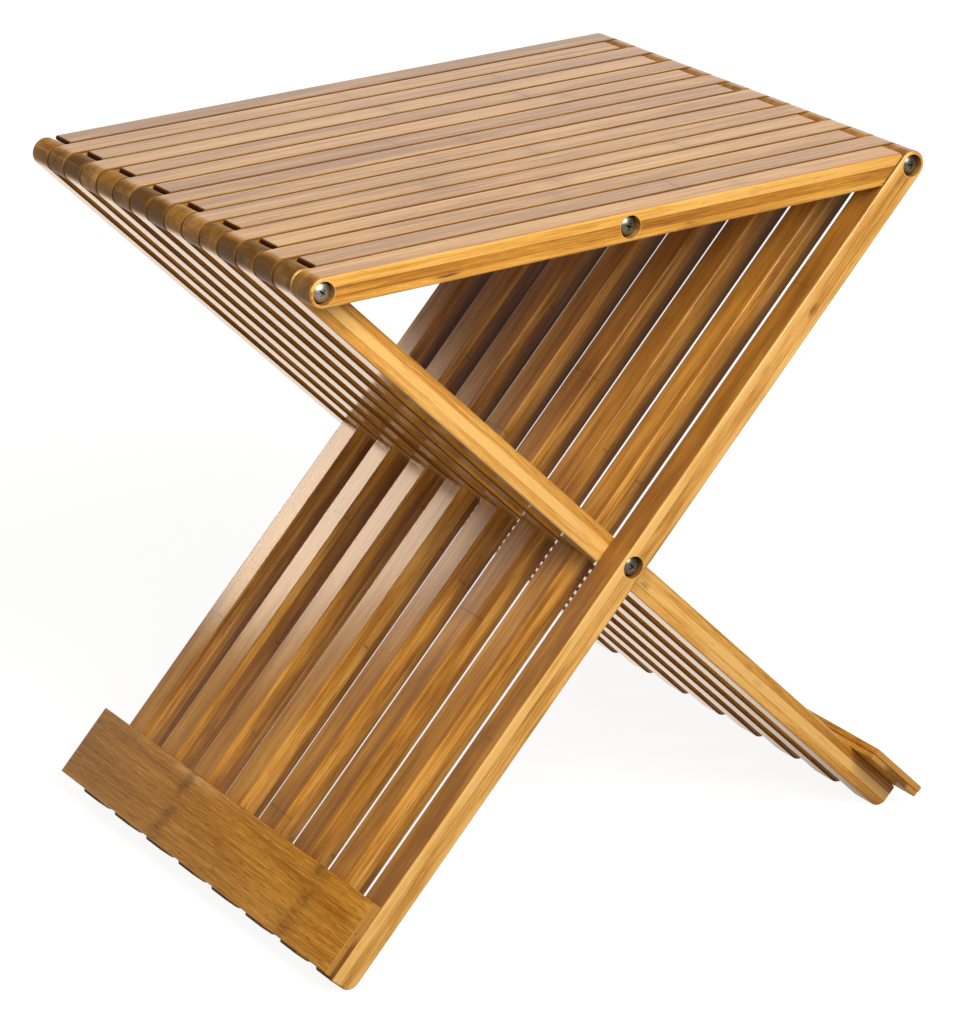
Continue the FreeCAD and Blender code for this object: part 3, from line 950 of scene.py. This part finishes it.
@dataclass(frozen=True)
class BoardBamboo(Bamboo):
    """The foot boards' bamboo, two plies with their grain along the rods.

    A dark colour is laid on a stretch of the inner ply's end.
    """

    joints: Tuple[float, ...] = ()
    end_wood: Colour = Colour(0.415, 0.208, 0.055)
    end_from: Step = Step(0.0008, 0.0002)
    end_share: float = 0.65
    end_calm: float = 0.6
    end_bare: float = 0.6
    dark_patch: Colour = Colour(0.150, 0.060, 0.012)
    dark_patch_from: float = 0.0
    dark_patch_to: float = 0.0
    dark_patch_start: Step = Step(-0.006, 0.004)
    dark_patch_stop: Step = Step(0.0, 0.004)
    dark_patch_depth: Step = Step(0.0, 0.0004)
    dark_patch_share: float = 0.8
    dark_patch_drift: float = 0.6
    glue: float = 0.0
    seam_half: float = 0.00035
    seam_share: float = 0.8
    varnish: Varnish = Varnish(share=0.4)
    hair: Layer = Layer(60.0, 2000.0, 0.85)
    streak: Layer = Layer(5.0, 330.0, 0.30)
    drift: Layer = Layer(9.0, 60.0, 0.40)
    dash: Layer = Layer(110.0, 1500.0, 0.42)
    contrast: float = 1.5
    tone: float = 0.41
    half_length: float = SIZES.half_depth
    joint_height: float = 0.5
    wobble_rate: Tuple[float, float] = (75.0, 60.0)
    wobble_fineness: Fineness = Fineness(3.0, 0.65)
    wobble_length: float = 0.014
    patch_rate: Tuple[float, float, float] = (95.0, 55.0, 60.0)
    patch_fineness: Fineness = Fineness(2.0, 0.5)
    line_from: Step = Step(0.0006, 0.0080)
    line_fibre: float = 1.5
    line_patch: float = 1.9
    line_breaks: Step = Step(-0.16, 0.22)
    line_share: float = 0.52
    halo_from: Step = Step(0.001, 0.016)
    halo_least: float = 0.45
    halo_share: float = 0.28

    def make(self) -> bpy.types.Material:
        """Build the material.

        Returns:
            The finished material.
        """
        material, graph = new_graph(self.name)
        across, along, deep = self.place(graph)
        inside = (deep * self.run.outside() - self.glue) * -1.0
        grain = self.grain(graph, along + self.seed, across, deep)
        line, halo = self.joint(graph, (across, along, deep), grain)
        end = abs(along).rise_before(self.half_length, self.end_from)
        seam = 1.0 - abs(inside).rise(0.0, self.seam_half)
        # A dark patch on a stretch of the inner ply's end.
        dark_patch = inside.rise(*self.dark_patch_depth) * end * (across - self.dark_patch_from).rise(*self.dark_patch_start)
        dark_patch = dark_patch * (1.0 - (across - self.dark_patch_to).rise(*self.dark_patch_stop))
        contrast = self.contrast * (1.0 - self.end_calm * end)
        wood = graph.lay_over(self.wood(graph, self.tone + grain.tone * contrast, self.palette), (
            (self.mark, line * self.line_share + halo * self.halo_share),
            (self.end_wood, end * self.end_share),
            (self.dark_patch, dark_patch * (self.dark_patch_share + self.dark_patch_drift * grain.drift)),
            (self.seam, seam * self.seam_share)))
        rough, height = self.relief(grain, line)
        self.finish(graph, wood, end * self.end_bare, rough, height)
        return material

    def joint(self, graph: Graph, place: Tuple[Wire, Wire, Wire], grain: Grain) -> Tuple[Wire, Wire]:
        """Add the joints of the bamboo stem that cross the board.

        Args:
            graph: the material's nodes.
            place: the place across the board, along it and through it.
            grain: the pattern of fibres.

        Returns:
            The broken dark line of the joints, and the soft shade on both their sides.
        """
        across, along, deep = place
        rate_across, rate_deep = self.wobble_rate
        wavy = graph.join(across * rate_across + self.seed, deep * rate_deep, self.seed)
        wobble = graph.noise(wavy, self.wobble_fineness) * self.wobble_length
        rate_across, rate_along, rate_deep = self.patch_rate
        patchy = graph.join(across * rate_across, along * rate_along, deep * rate_deep + self.seed)
        patch = graph.noise(patchy, self.patch_fineness)
        reach = least([abs(along - joint + wobble) for joint in self.joints])
        broken = (grain.fibre * self.line_fibre + patch * self.line_patch).rise(*self.line_breaks)
        halo = (1.0 - reach.rise(*self.halo_from)) * (patch + self.halo_least).at_least(0.0)
        return (1.0 - reach.rise(*self.line_from)) * broken, halo


SUNK = "sunk"


@dataclass(frozen=True)
class Steel:
    """Plain or bright steel, with cloudy dull places and painted shade where the mesh says that it is sunk.
    """

    name: str
    bright: Colour = Colour(0.30, 0.29, 0.265)
    dull: Colour = Colour(0.12, 0.11, 0.095)
    rough: float = 0.30
    # Painted shade in the sunk cross recess.
    recess_shade: Colour = Colour(0.012, 0.010, 0.008)
    recess_shade_share: float = 0.95
    recess_rough: float = 0.4
    cloud_rate: float = 900.0
    cloud_fineness: Fineness = Fineness(4.0, 0.6)
    cloud_rough: float = 0.3
    dull_from: Step = Step(-0.15, 0.35)

    def make(self) -> bpy.types.Material:
        """Build the material.

        Returns:
            The finished material.
        """
        material, graph = new_graph(self.name)
        place = graph.add("ShaderNodeTexCoord", output="Object")
        sunk = graph.add("ShaderNodeAttribute", {"attribute_name": SUNK}, output="Fac")
        inputs = {"Vector": place, "Scale": (self.cloud_rate,) * 3}
        cloud = graph.noise(graph.add("ShaderNodeMapping", None, inputs), self.cloud_fineness)
        # Painted shade laid where the mesh says the cross is sunk.
        coats = ((self.dull, cloud.rise(*self.dull_from)), (self.recess_shade, sunk * self.recess_shade_share))
        colour = graph.lay_over(self.bright.full(), coats)
        rough = self.rough + self.cloud_rough * cloud + self.recess_rough * sunk
        inputs = {"Base Color": colour, "Metallic": 1.0, "Roughness": rough}
        surface = graph.add("ShaderNodeBsdfPrincipled", None, inputs)
        graph.node("ShaderNodeOutputMaterial", None, {"Surface": surface})
        return material


def coat_nodes(names: Sequence[str], material: bpy.types.Material) -> None:
    """Give CAD nodes a finish.

    Args:
        names: the nodes.
        material: the finish for all their material slots.
    """
    for name in names:
        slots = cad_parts[name].material_slots
        for slot in slots:
            slot.material = material
        log.info("%s: %s in %d slot(s)", name, material.name, len(slots))


def deselect_all() -> None:
    """Leave nothing selected, so that an operator acts on the next piece alone."""
    bpy.ops.object.select_all(action="DESELECT")


class Part(Enum):
    """The parts of a mesh that an operator can act on."""

    EDGES = "edges"
    FACES = "polygons"


def pick(piece: bpy.types.Object, part: Part, wanted: Callable[[Vector], bool]) -> None:
    """Go into edit mode with some edges or faces selected.

    Args:
        piece: the active piece.
        part: whether edges or faces are picked.
        wanted: tells from the middle of an edge or face whether it is picked.
    """
    bpy.ops.object.mode_set(mode="OBJECT")
    mesh = piece.data
    for items in (mesh.vertices, mesh.edges, mesh.polygons):
        items.foreach_set("select", [False] * len(items))
    for item in getattr(mesh, part.value):
        corners = [mesh.vertices[index].co for index in item.vertices]
        item.select = wanted(sum(corners, Vector()) / len(corners))
    bpy.context.tool_settings.mesh_select_mode = (False, part is Part.EDGES, part is Part.FACES)
    bpy.ops.object.mode_set(mode="EDIT")


def use_modifier(piece: bpy.types.Object, kind: str, **settings: Any) -> None:
    """Add a modifier to the active piece and apply it.

    Args:
        piece: the active piece.
        kind: the modifier's type.
        settings: the modifier's properties.
    """
    modifier = piece.modifiers.new(kind.lower(), kind)
    for name, setting in settings.items():
        setattr(modifier, name, setting)
    bpy.ops.object.modifier_apply(modifier=modifier.name)


def cut_away(piece: bpy.types.Object, cutter: bpy.types.Object) -> None:
    """Cut one piece by another, which is then removed.

    Args:
        piece: the piece that is cut.
        cutter: the shape that is cut away.
    """
    bpy.context.view_layer.objects.active = piece
    use_modifier(piece, "BOOLEAN", operation="DIFFERENCE", solver="EXACT", object=cutter)
    bpy.data.objects.remove(cutter, do_unlink=True)


def join_all(pieces: Sequence[bpy.types.Object], name: str) -> bpy.types.Object:
    """Join pieces into one.

    Args:
        pieces: the pieces.
        name: the name of the whole.

    Returns:
        The whole.
    """
    deselect_all()
    for piece in pieces:
        piece.select_set(True)
    bpy.context.view_layer.objects.active = pieces[0]
    if len(pieces) > 1:
        bpy.ops.object.join()
    whole = bpy.context.view_layer.objects.active
    whole.name = name
    return whole


def select_only(piece: bpy.types.Object) -> None:
    """Make one piece the only selected and the active one.

    Args:
        piece: the piece.
    """
    deselect_all()
    piece.select_set(True)
    bpy.context.view_layer.objects.active = piece


def settle(piece: bpy.types.Object) -> None:
    """Put a piece's place, turn and scale into its mesh."""
    select_only(piece)
    bpy.ops.object.transform_apply(location=True, rotation=True, scale=True)


@dataclass
class SeatSlats:
    """The slats of the seat."""

    finish: SlatBamboo = SlatBamboo(
        "seat_bamboo_varnished", Run.SEAT, 3.0, near_plies=(0.13, -0.19, 0.38),
        # Part of the seat's sheen is painted in with the pink tint; the gaps between slats get painted
        # shade.
        rosy_and_sheen_share=0.24, gap_shade_dark=0.88, face_contrast=2.1, slat_spread=0.58, face_tone=0.36,
        # Near-black free ends on the seat: end grain and painted shade.
        cut=Colour(0.060, 0.026, 0.008),
        spots=(Spot(-0.117, -0.0045, 1.0, 0.011), Spot(0.0824, 0.0055, 0.2), Spot(0.0394, -0.0055, 0.4)))

    def dress(self) -> None:
        """Give the seat slats their finish."""
        material = self.finish.make()
        coat_nodes(["seat_slat_%02d" % slot for slot in range(1, SIZES.slots + 1)], material)


@dataclass
class LegSlats:
    """The slats of the two crossed frames."""

    left: SlatBamboo = SlatBamboo(
        "left_foot_leg_bamboo", Run.LEFT_FOOT, 41.0, near_palette=STRAW, near_plies=(0.46, 0.14, 0.26),
        # Painted light on the faces below the cross rod in the far rows and above it; painted shade on the
        # slats' sides.
        side_tone=0.42, face_tone=0.16, inner_shade=1.0, painted_foot_light=0.36, painted_head_light=0.13, joint_dark=0.75,
        round_from=Step(0.0064, 0.0083), drift=Layer(16.0, 110.0, 1.15),
        spots=(Spot(0.0996, 0.0010, 0.9), Spot(0.1444, -0.0030, 0.3)))
    right: SlatBamboo = SlatBamboo(
        "right_foot_leg_bamboo", Run.RIGHT_FOOT, 77.0, near_row=1, near_palette=HONEY,
        # The right legs get painted shade in the gaps between slats.
        near_plies=(0.36, 0.70, 0.16), side_tone=0.34, gap_shade_dark=0.85, joint_dark=0.75,
        spots=(Spot(0.3076, 0.0), Spot(0.4205, 0.0, 0.3), Spot(0.4080, 0.0035, 0.3)))

    def dress(self) -> None:
        """Give the leg slats their finishes."""
        coat_nodes(["leg_slat_%02d" % slot for slot in range(1, SIZES.slots + 1, 2)], self.left.make())
        coat_nodes(["leg_slat_%02d" % slot for slot in range(2, SIZES.slots + 1, 2)], self.right.make())


@dataclass(frozen=True)
class PinHole:
    """A nail's small hole in a board's near end, by its place along the leg and through the board."""

    along: float
    deep: float
    radius: float = 0.0006
    depth: float = 0.004


@dataclass
class FootBoard:
    """A board of two plies across one set of feet."""

    node: str
    body: str
    run: Run
    finish: BoardBamboo
    holes: Tuple[PinHole, ...] = ()
    width: float = 0.047
    setback: float = 0.0019
    outer_ply: float = 0.0039
    inner_ply: float = 0.0036
    ease: float = 0.0008
    groove: float = 0.00018
    ease_steps: int = 3
    hole_sides: int = 16
    smooth_angle: float = 30.0

    def build(self) -> None:
        """Model the board in place of the plain solid."""
        seat = SIZES.slat_thickness / 2
        glue = seat + self.inner_ply
        outer = self.model_ply(glue, glue + self.outer_ply)
        inner = self.model_ply(seat, glue)
        face = glue + self.outer_ply
        self.round_edges(outer, lambda deep: abs(deep - face) < self.groove, self.ease, self.ease_steps)
        self.round_edges(outer, lambda deep: abs(deep - glue) < self.groove, self.groove, 1)
        self.round_edges(inner, lambda deep: abs(deep - glue) < self.groove, self.groove, 1)
        for hole in self.holes:
            self.drill(outer, hole)
        board = join_all([outer, inner], self.node + "_two_plies")
        bpy.ops.object.shade_smooth_by_angle(angle=math.radians(self.smooth_angle))
        board.data.materials.clear()
        board.data.materials.append(self.finish.make())
        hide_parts(self.node)
        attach(board, self.body)
        log.info("%s: %d faces, rides %s", board.name, len(board.data.polygons), self.body)

    def model_ply(self, low: float, high: float) -> bpy.types.Object:
        """Model one ply as a block.

        Args:
            low: how far its inner face lies from the leg's middle.
            high: how far its outer face lies from it.

        Returns:
            The ply.
        """
        out = self.run.outside()
        along = SIZES.leg_length - self.setback - self.width / 2
        middle = self.run.to_world((along, 0.0, out * (low + high) / 2))
        deselect_all()
        bpy.ops.mesh.primitive_cube_add(size=1.0, location=middle, rotation=self.run.turn())
        ply = bpy.context.object
        ply.scale = (self.width, 2 * SIZES.half_depth, high - low)
        settle(ply)
        return ply

    def through(self, place: Vector) -> float:
        """Return how far a place lies outwards from the leg's middle."""
        offset = place - Vector(self.run.origin())
        return self.run.outside() * (Euler(self.run.turn()).to_matrix().inverted() @ offset).z

    def round_edges(self, ply: bpy.types.Object, wanted: Callable[[float], bool], radius: float,
                    steps: int) -> None:
        """Round the edges that lie at some depth.

        Args:
            ply: the ply.
            wanted: tells from a depth whether an edge there is rounded.
            radius: the size of the rounding.
            steps: its number of steps.
        """
        bpy.context.view_layer.objects.active = ply
        pick(ply, Part.EDGES, lambda middle: wanted(self.through(middle)))
        bpy.ops.mesh.bevel(offset=radius, segments=steps, affect="EDGES")
        bpy.ops.object.mode_set(mode="OBJECT")

    def drill(self, ply: bpy.types.Object, hole: PinHole) -> None:
        """Drill a pin hole into the near end.

        Args:
            ply: the ply that is drilled.
            hole: the hole.
        """
        place = self.run.to_world((hole.along, -SIZES.half_depth, self.run.outside() * hole.deep))
        deselect_all()
        bpy.ops.mesh.primitive_cylinder_add(
            vertices=self.hole_sides, radius=hole.radius, depth=2 * hole.depth, location=place,
            rotation=(QUARTER_TURN, 0.0, 0.0))
        cutter = bpy.context.object
        settle(cutter)
        cut_away(ply, cutter)


@dataclass
class FootBoards:
    """The boards across the two sets of feet."""

    left: FootBoard = field(default_factory=lambda: FootBoard(
        "left_foot_board", "left_foot_frame", Run.LEFT_FOOT,
        BoardBamboo("left_board_bamboo", Run.LEFT_FOOT, 5.0, joints=(0.045, -0.106), glue=0.0121,
                    dark_patch_from=0.536, dark_patch_to=0.70),
        holes=(PinHole(0.5318, 0.0138), PinHole(0.5404, 0.0138))))
    right: FootBoard = field(default_factory=lambda: FootBoard(
        "right_foot_board", "right_foot_frame", Run.RIGHT_FOOT,
        BoardBamboo("right_board_bamboo", Run.RIGHT_FOOT, 9.0, joints=(0.070, -0.060), glue=0.0121,
                    dark_patch_from=0.526, dark_patch_to=0.546, tone=0.55, end_wood=Colour(0.54, 0.27, 0.075))))

    def build(self) -> None:
        """Model both boards."""
        self.left.build()
        self.right.build()


@dataclass
class PanScrew:
    """A pan head screw with a cross recess, modelled once with its axis on Z and its seat at 0."""

    head_radius: float = 0.0053
    head_height: float = 0.0032
    rim_height: float = 0.0014
    shank_radius: float = 0.003
    shank_length: float = 0.010
    sides: int = 48
    dome_steps: int = 5
    cross_length: float = 0.0066
    cross_width: float = 0.0015
    cross_depth: float = 0.0026
    cross_taper: float = 0.40
    rim_ease: float = 0.00025
    ease_steps: int = 2
    ease_angle: float = 40.0
    smooth_angle: float = 35.0
    axis_gap: float = 0.00001
    recess_reach: float = 0.6
    recess_from: float = 0.4

    def dome_rise(self, radius: float) -> float:
        """Find the height of the dome.

        Args:
            radius: the distance from the axis.

        Returns:
            The height over the screw's seat.
        """
        drop = self.head_height - self.rim_height
        ball = (self.head_radius ** 2 + drop ** 2) / (2 * drop)
        return math.sqrt(ball ** 2 - radius ** 2) - ball + self.head_height

    def build(self) -> bpy.types.Object:
        """Model the screw.

        Returns:
            The screw, to be copied.
        """
        deselect_all()
        bpy.ops.mesh.primitive_cylinder_add(
            vertices=self.sides, radius=self.head_radius, depth=self.rim_height,
            location=(0.0, 0.0, self.rim_height / 2))
        screw = bpy.context.object
        settle(screw)
        self.raise_dome(screw)
        pick(screw, Part.FACES, lambda middle: middle.z < self.rim_ease)
        bpy.ops.mesh.inset(thickness=self.head_radius - self.shank_radius)
        bpy.ops.mesh.extrude_region_move(TRANSFORM_OT_translate={"value": (0.0, 0.0, -self.shank_length)})
        bpy.ops.object.mode_set(mode="OBJECT")
        cut_away(screw, self.model_cross())
        use_modifier(screw, "BEVEL", width=self.rim_ease, segments=self.ease_steps, limit_method="ANGLE",
                     angle_limit=math.radians(self.ease_angle), use_clamp_overlap=True)
        select_only(screw)
        bpy.ops.object.shade_smooth_by_angle(angle=math.radians(self.smooth_angle))
        self.mark_recess(screw)
        return screw

    def mark_recess(self, screw: bpy.types.Object) -> None:
        """Keep on each corner how deep in the cross it lies, from 0 to 1, where the finish paints shade.

        Args:
            screw: the screw with its cross cut.
        """
        sunk = screw.data.attributes.new(SUNK, "FLOAT", "POINT")
        for vertex, mark in zip(screw.data.vertices, sunk.data):
            radius = vertex.co.xy.length
            depth = self.dome_rise(min(radius, self.head_radius)) - vertex.co.z
            inside = radius < self.cross_length * self.recess_reach and vertex.co.z > 0.0
            mark.value = min(max(depth / self.rim_ease - self.recess_from, 0.0), 1.0) if inside else 0.0

    def raise_dome(self, screw: bpy.types.Object) -> None:
        """Draw the head's flat top up into a dome.

        Args:
            screw: the disc that the head starts from.
        """
        low = self.rim_height - self.rim_ease
        pick(screw, Part.FACES, lambda middle: middle.z > low and middle.xy.length < self.axis_gap)
        radius = self.head_radius
        height = self.rim_height
        for step in range(1, self.dome_steps + 1):
            inner = self.head_radius * math.cos(QUARTER_TURN * step / (self.dome_steps + 1))
            bpy.ops.mesh.inset(thickness=radius - inner)
            bpy.ops.transform.translate(value=(0.0, 0.0, self.dome_rise(inner) - height))
            radius = inner
            height = self.dome_rise(inner)
        bpy.ops.object.mode_set(mode="OBJECT")

    def model_cross(self) -> bpy.types.Object:
        """Model the shape that the driver's cross is cut with.

        Returns:
            The cutter.
        """
        arms = []
        floor = self.head_height - self.cross_depth + self.rim_ease
        for turn in (0.0, QUARTER_TURN):
            deselect_all()
            bpy.ops.mesh.primitive_cube_add(
                size=1.0, location=(0.0, 0.0, self.head_height), rotation=(0.0, 0.0, turn))
            arm = bpy.context.object
            arm.scale = (self.cross_length, self.cross_width, 2 * self.cross_depth)
            settle(arm)
            pick(arm, Part.FACES, lambda middle: middle.z < floor)
            bpy.ops.transform.resize(value=(self.cross_taper, self.cross_taper, 1.0))
            bpy.ops.object.mode_set(mode="OBJECT")
            arms.append(arm)
        cross, other = arms
        bpy.context.view_layer.objects.active = cross
        use_modifier(cross, "BOOLEAN", operation="UNION", solver="EXACT", object=other)
        bpy.data.objects.remove(other, do_unlink=True)
        return cross


@dataclass(frozen=True)
class ScrewSet:
    """The screws of one CAD node, near and far, and how the near one's cross is turned."""

    node: str
    body: str
    near: bool
    far: bool
    twist: float
    finish: Steel


@dataclass
class Screws:
    """The screws in the ends of the rods."""

    shape: PanScrew = field(default_factory=PanScrew)
    bright: Steel = Steel(
        "screw_steel_bright", Colour(0.74, 0.70, 0.60), Colour(0.34, 0.315, 0.26), rough=0.36)
    worn: Steel = Steel(
        "screw_steel_worn", Colour(0.42, 0.375, 0.30), Colour(0.13, 0.115, 0.09), rough=0.33)
    sink_depth: float = 0.004

    def sets(self) -> Tuple[ScrewSet, ...]:
        """List the sets of screws.

        Returns:
            The sets, one for each CAD node.
        """
        return (
            ScrewSet("left_rod_screws", "right_foot_frame", True, True, 38.0, self.bright),
            ScrewSet("right_rod_screws", "left_foot_frame", True, True, 15.0, self.worn),
            ScrewSet("cross_rod_screws", "left_foot_frame", True, True, 62.0, self.worn),
            ScrewSet("middle_rod_near_screw", "left_seat_slats", True, False, 25.0, self.worn),
            ScrewSet("middle_rod_far_screw", "right_seat_slats", False, True, 70.0, self.worn),
        )

    def build(self) -> None:
        """Model one screw and set a copy of it in each sink."""
        model = self.shape.build()
        made: Dict[str, bpy.types.Material] = {}
        for group in self.sets():
            if group.finish.name not in made:
                made[group.finish.name] = group.finish.make()
            sides = [side for side, wanted in ((-1.0, group.near), (1.0, group.far)) if wanted]
            copies = [self.copy(model, group, side) for side in sides]
            whole = join_all(copies, group.node + "_cross_head")
            whole.data.materials.clear()
            whole.data.materials.append(made[group.finish.name])
            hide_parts(group.node)
            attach(whole, group.body)
            log.info("%s: %d screw(s), %s", whole.name, len(copies), group.finish.name)
        bpy.data.objects.remove(model, do_unlink=True)

    def copy(self, model: bpy.types.Object, group: ScrewSet, side: float) -> bpy.types.Object:
        """Set one copy of the screw in its sink.

        Args:
            model: the screw that is copied.
            group: the set that the copy belongs to.
            side: -1 for the near end of the rod, 1 for the far end.

        Returns:
            The copy.
        """
        screw = bpy.data.objects.new(group.node, model.data.copy())
        bpy.context.scene.collection.objects.link(screw)
        middle = middle_of(group.node)
        outward = Euler((-QUARTER_TURN * side, 0.0, 0.0)).to_matrix()
        twist = Euler((0.0, 0.0, math.radians(group.twist * side))).to_matrix()
        screw.rotation_euler = (outward @ twist).to_euler()
        screw.location = (middle.x, side * (SIZES.half_depth - self.sink_depth), middle.z)
        settle(screw)
        return screw


@dataclass
class Rods:
    """The steel rods that the slats turn on."""

    finish: Steel = Steel("rod_steel_plain", rough=0.38)

    def dress(self) -> None:
        """Give the rods their finish."""
        rods = [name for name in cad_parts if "rod" in name and "screw" not in name]
        coat_nodes(rods, self.finish.make())


class Reach(Enum):
    """What a lamp is seen in: the matt wood, the varnish's sheen, or both."""

    BOTH = "both"
    SHEEN = "sheen"
    MATT = "matt"


@dataclass(frozen=True)
class Panel:
    """A square soft lamp that looks at the stool."""

    name: str
    place: Tuple[float, float, float]
    target: Tuple[float, float, float]
    size: float
    power: float
    colour: Colour = WHITE
    reach: Reach = Reach.BOTH
    spread: float = 180.0

    def build(self) -> None:
        """Add the lamp."""
        data = bpy.data.lights.new(self.name, "AREA")
        data.shape = "SQUARE"
        data.size = self.size
        data.energy = self.power
        data.color = self.colour
        data.spread = math.radians(self.spread)
        lamp = bpy.data.objects.new(self.name, data)
        bpy.context.scene.collection.objects.link(lamp)
        lamp.location = self.place
        lamp.rotation_euler = (Vector(self.target) - lamp.location).to_track_quat("-Z", "Y").to_euler()
        lamp.visible_diffuse = self.reach is not Reach.SHEEN
        lamp.visible_glossy = self.reach is not Reach.MATT
        lamp.visible_camera = False
        log.info("%s: %.3g W", self.name, self.power)


@dataclass
class Studio:
    """The floor, the white surroundings and the lamps."""

    floor_size: float = 30.0
    floor_white: Colour = Colour(0.20, 0.20, 0.20)
    floor_glow: float = 0.91
    mirror_glow: float = 1.22
    warmth: Colour = Colour(1.0, 0.87, 0.75)
    ambient: float = 0.14
    room: float = 0.12
    floor_back: Step = Step(-0.25, 0.10)
    sweep_back: Step = Step(-0.2, 0.4)
    sweep_top: Step = Step(0.36, 0.46)
    front: Panel = Panel("front_panel", (-0.15, -1.48, 1.50), (0.0, 0.0, 0.25), 1.1, 39.0)
    low: Panel = Panel("low_panel", (-0.95, -1.45, 0.32), (0.0, 0.0, 0.2), 0.8, 7.5, reach=Reach.MATT)
    above: Panel = Panel("overhead_panel", (0.1, 0.1, 2.1), (0.0, 0.0, 0.4), 1.6, 1.2)
    back: Panel = Panel("back_panel", (1.6, 2.6, 1.6), (0.0, 0.0, 0.3), 2.2, 2.5)
    rim_light: Panel = Panel("rim_panel", (-0.41, 0.94, 0.615), (-0.03, 0.13, 0.21), 0.22, 0.046,
                       Colour(1.0, 0.81, 0.62), Reach.SHEEN, spread=28.0)
    far: Panel = Panel("far_panel", (1.7, 1.9, 0.9), (0.0, 0.0, 0.25), 1.4, 20.0, reach=Reach.MATT)

    def build(self) -> None:
        """Add the floor, the surroundings and the lamps."""
        self.lay_floor()
        self.light_surroundings()
        for lamp in (self.front, self.low, self.above, self.back, self.rim_light, self.far):
            lamp.build()

    def rays(self, graph: Graph) -> Tuple[Wire, Wire]:
        """Tell the rays that reach the background apart.

        Args:
            graph: the nodes of the floor or the world.

        Returns:
            1 for rays that show the background straight, and 1 for those that show it in a sheen.
        """
        paths = graph.node("ShaderNodeLightPath")
        straight = Wire(graph, paths.outputs["Is Camera Ray"])
        straight = straight.at_least(Wire(graph, paths.outputs["Is Transmission Ray"]))
        return straight, Wire(graph, paths.outputs["Is Glossy Ray"])

    def lay_floor(self) -> None:
        """Lay the pale floor, which keeps the stool's shadow."""
        deselect_all()
        bpy.ops.mesh.primitive_plane_add(size=self.floor_size, location=(0.0, 0.0, 0.0))
        floor = bpy.context.object
        floor.name = "floor"
        material, graph = new_graph("floor_white")
        straight, sheen = self.rays(graph)
        _, back, _ = graph.split(graph.add("ShaderNodeTexCoord", output="Object"))
        mirrored = sheen * (self.room + (1.0 - self.room) * back.rise(*self.floor_back))
        matt = graph.add("ShaderNodeBsdfDiffuse", None, {"Color": self.floor_white.full()})
        tint = graph.mix(self.warmth.full(), WHITE.full(), straight)
        strength = straight * self.floor_glow + mirrored * self.mirror_glow
        glow = graph.add("ShaderNodeEmission", None, {"Color": tint, "Strength": strength})
        both = graph.add("ShaderNodeAddShader", None, {0: matt, 1: glow})
        graph.node("ShaderNodeOutputMaterial", None, {"Surface": both})
        floor.data.materials.append(material)

    def light_surroundings(self) -> None:
        """Make the world white where it is seen, a white sweep in the sheen, and a soft light elsewhere."""
        world = bpy.data.worlds.new("white_surroundings")
        world.use_nodes = True
        graph = Graph(world.node_tree)
        straight, sheen = self.rays(graph)
        _, back, up = graph.split(graph.add("ShaderNodeTexCoord", output="Generated"))
        sweep = back.rise(*self.sweep_back) * (1.0 - up.rise(*self.sweep_top))
        mirrored = self.room + (1.0 - self.room) * sweep
        strength = self.ambient + (mirrored - self.ambient) * sheen
        strength = strength + (1.0 - strength) * straight
        tint = graph.mix(self.warmth.full(), WHITE.full(), straight)
        background = graph.add("ShaderNodeBackground", None, {"Color": tint, "Strength": strength})
        graph.node("ShaderNodeOutputWorld", None, {"Surface": background})
        bpy.context.scene.world = world


@dataclass
class PhotoCamera:
    """The camera at the photograph's viewing angle."""

    eye: Tuple[float, float, float] = (-1.19633, -1.92145, 1.08565)
    turn: Tuple[float, float, float] = (68.3908, 1.2267, -32.3848)
    lens: float = 144.989
    film: float = 36.0

    def build(self) -> None:
        """Add the camera and make it the scene's own."""
        data = bpy.data.cameras.new("photo_camera")
        data.sensor_fit = "VERTICAL"
        data.sensor_width = self.film
        data.sensor_height = self.film
        data.lens = self.lens
        camera = bpy.data.objects.new("photo_camera", data)
        bpy.context.scene.collection.objects.link(camera)
        camera.location = self.eye
        camera.rotation_euler = tuple(math.radians(angle) for angle in self.turn)
        bpy.context.scene.camera = camera


def main() -> None:
    """Dress the stool and set the studio round it."""
    logging.basicConfig(level=logging.INFO, format="%(name)s: %(message)s")
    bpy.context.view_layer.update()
    bpy.context.scene.view_settings.view_transform = "Standard"
    for pieces in (SeatSlats(), LegSlats(), Rods()):
        pieces.dress()
    for assembly in (FootBoards(), Screws(), Studio()):
        assembly.build()
    PhotoCamera().build()


if __name__ == "__main__":
    main()
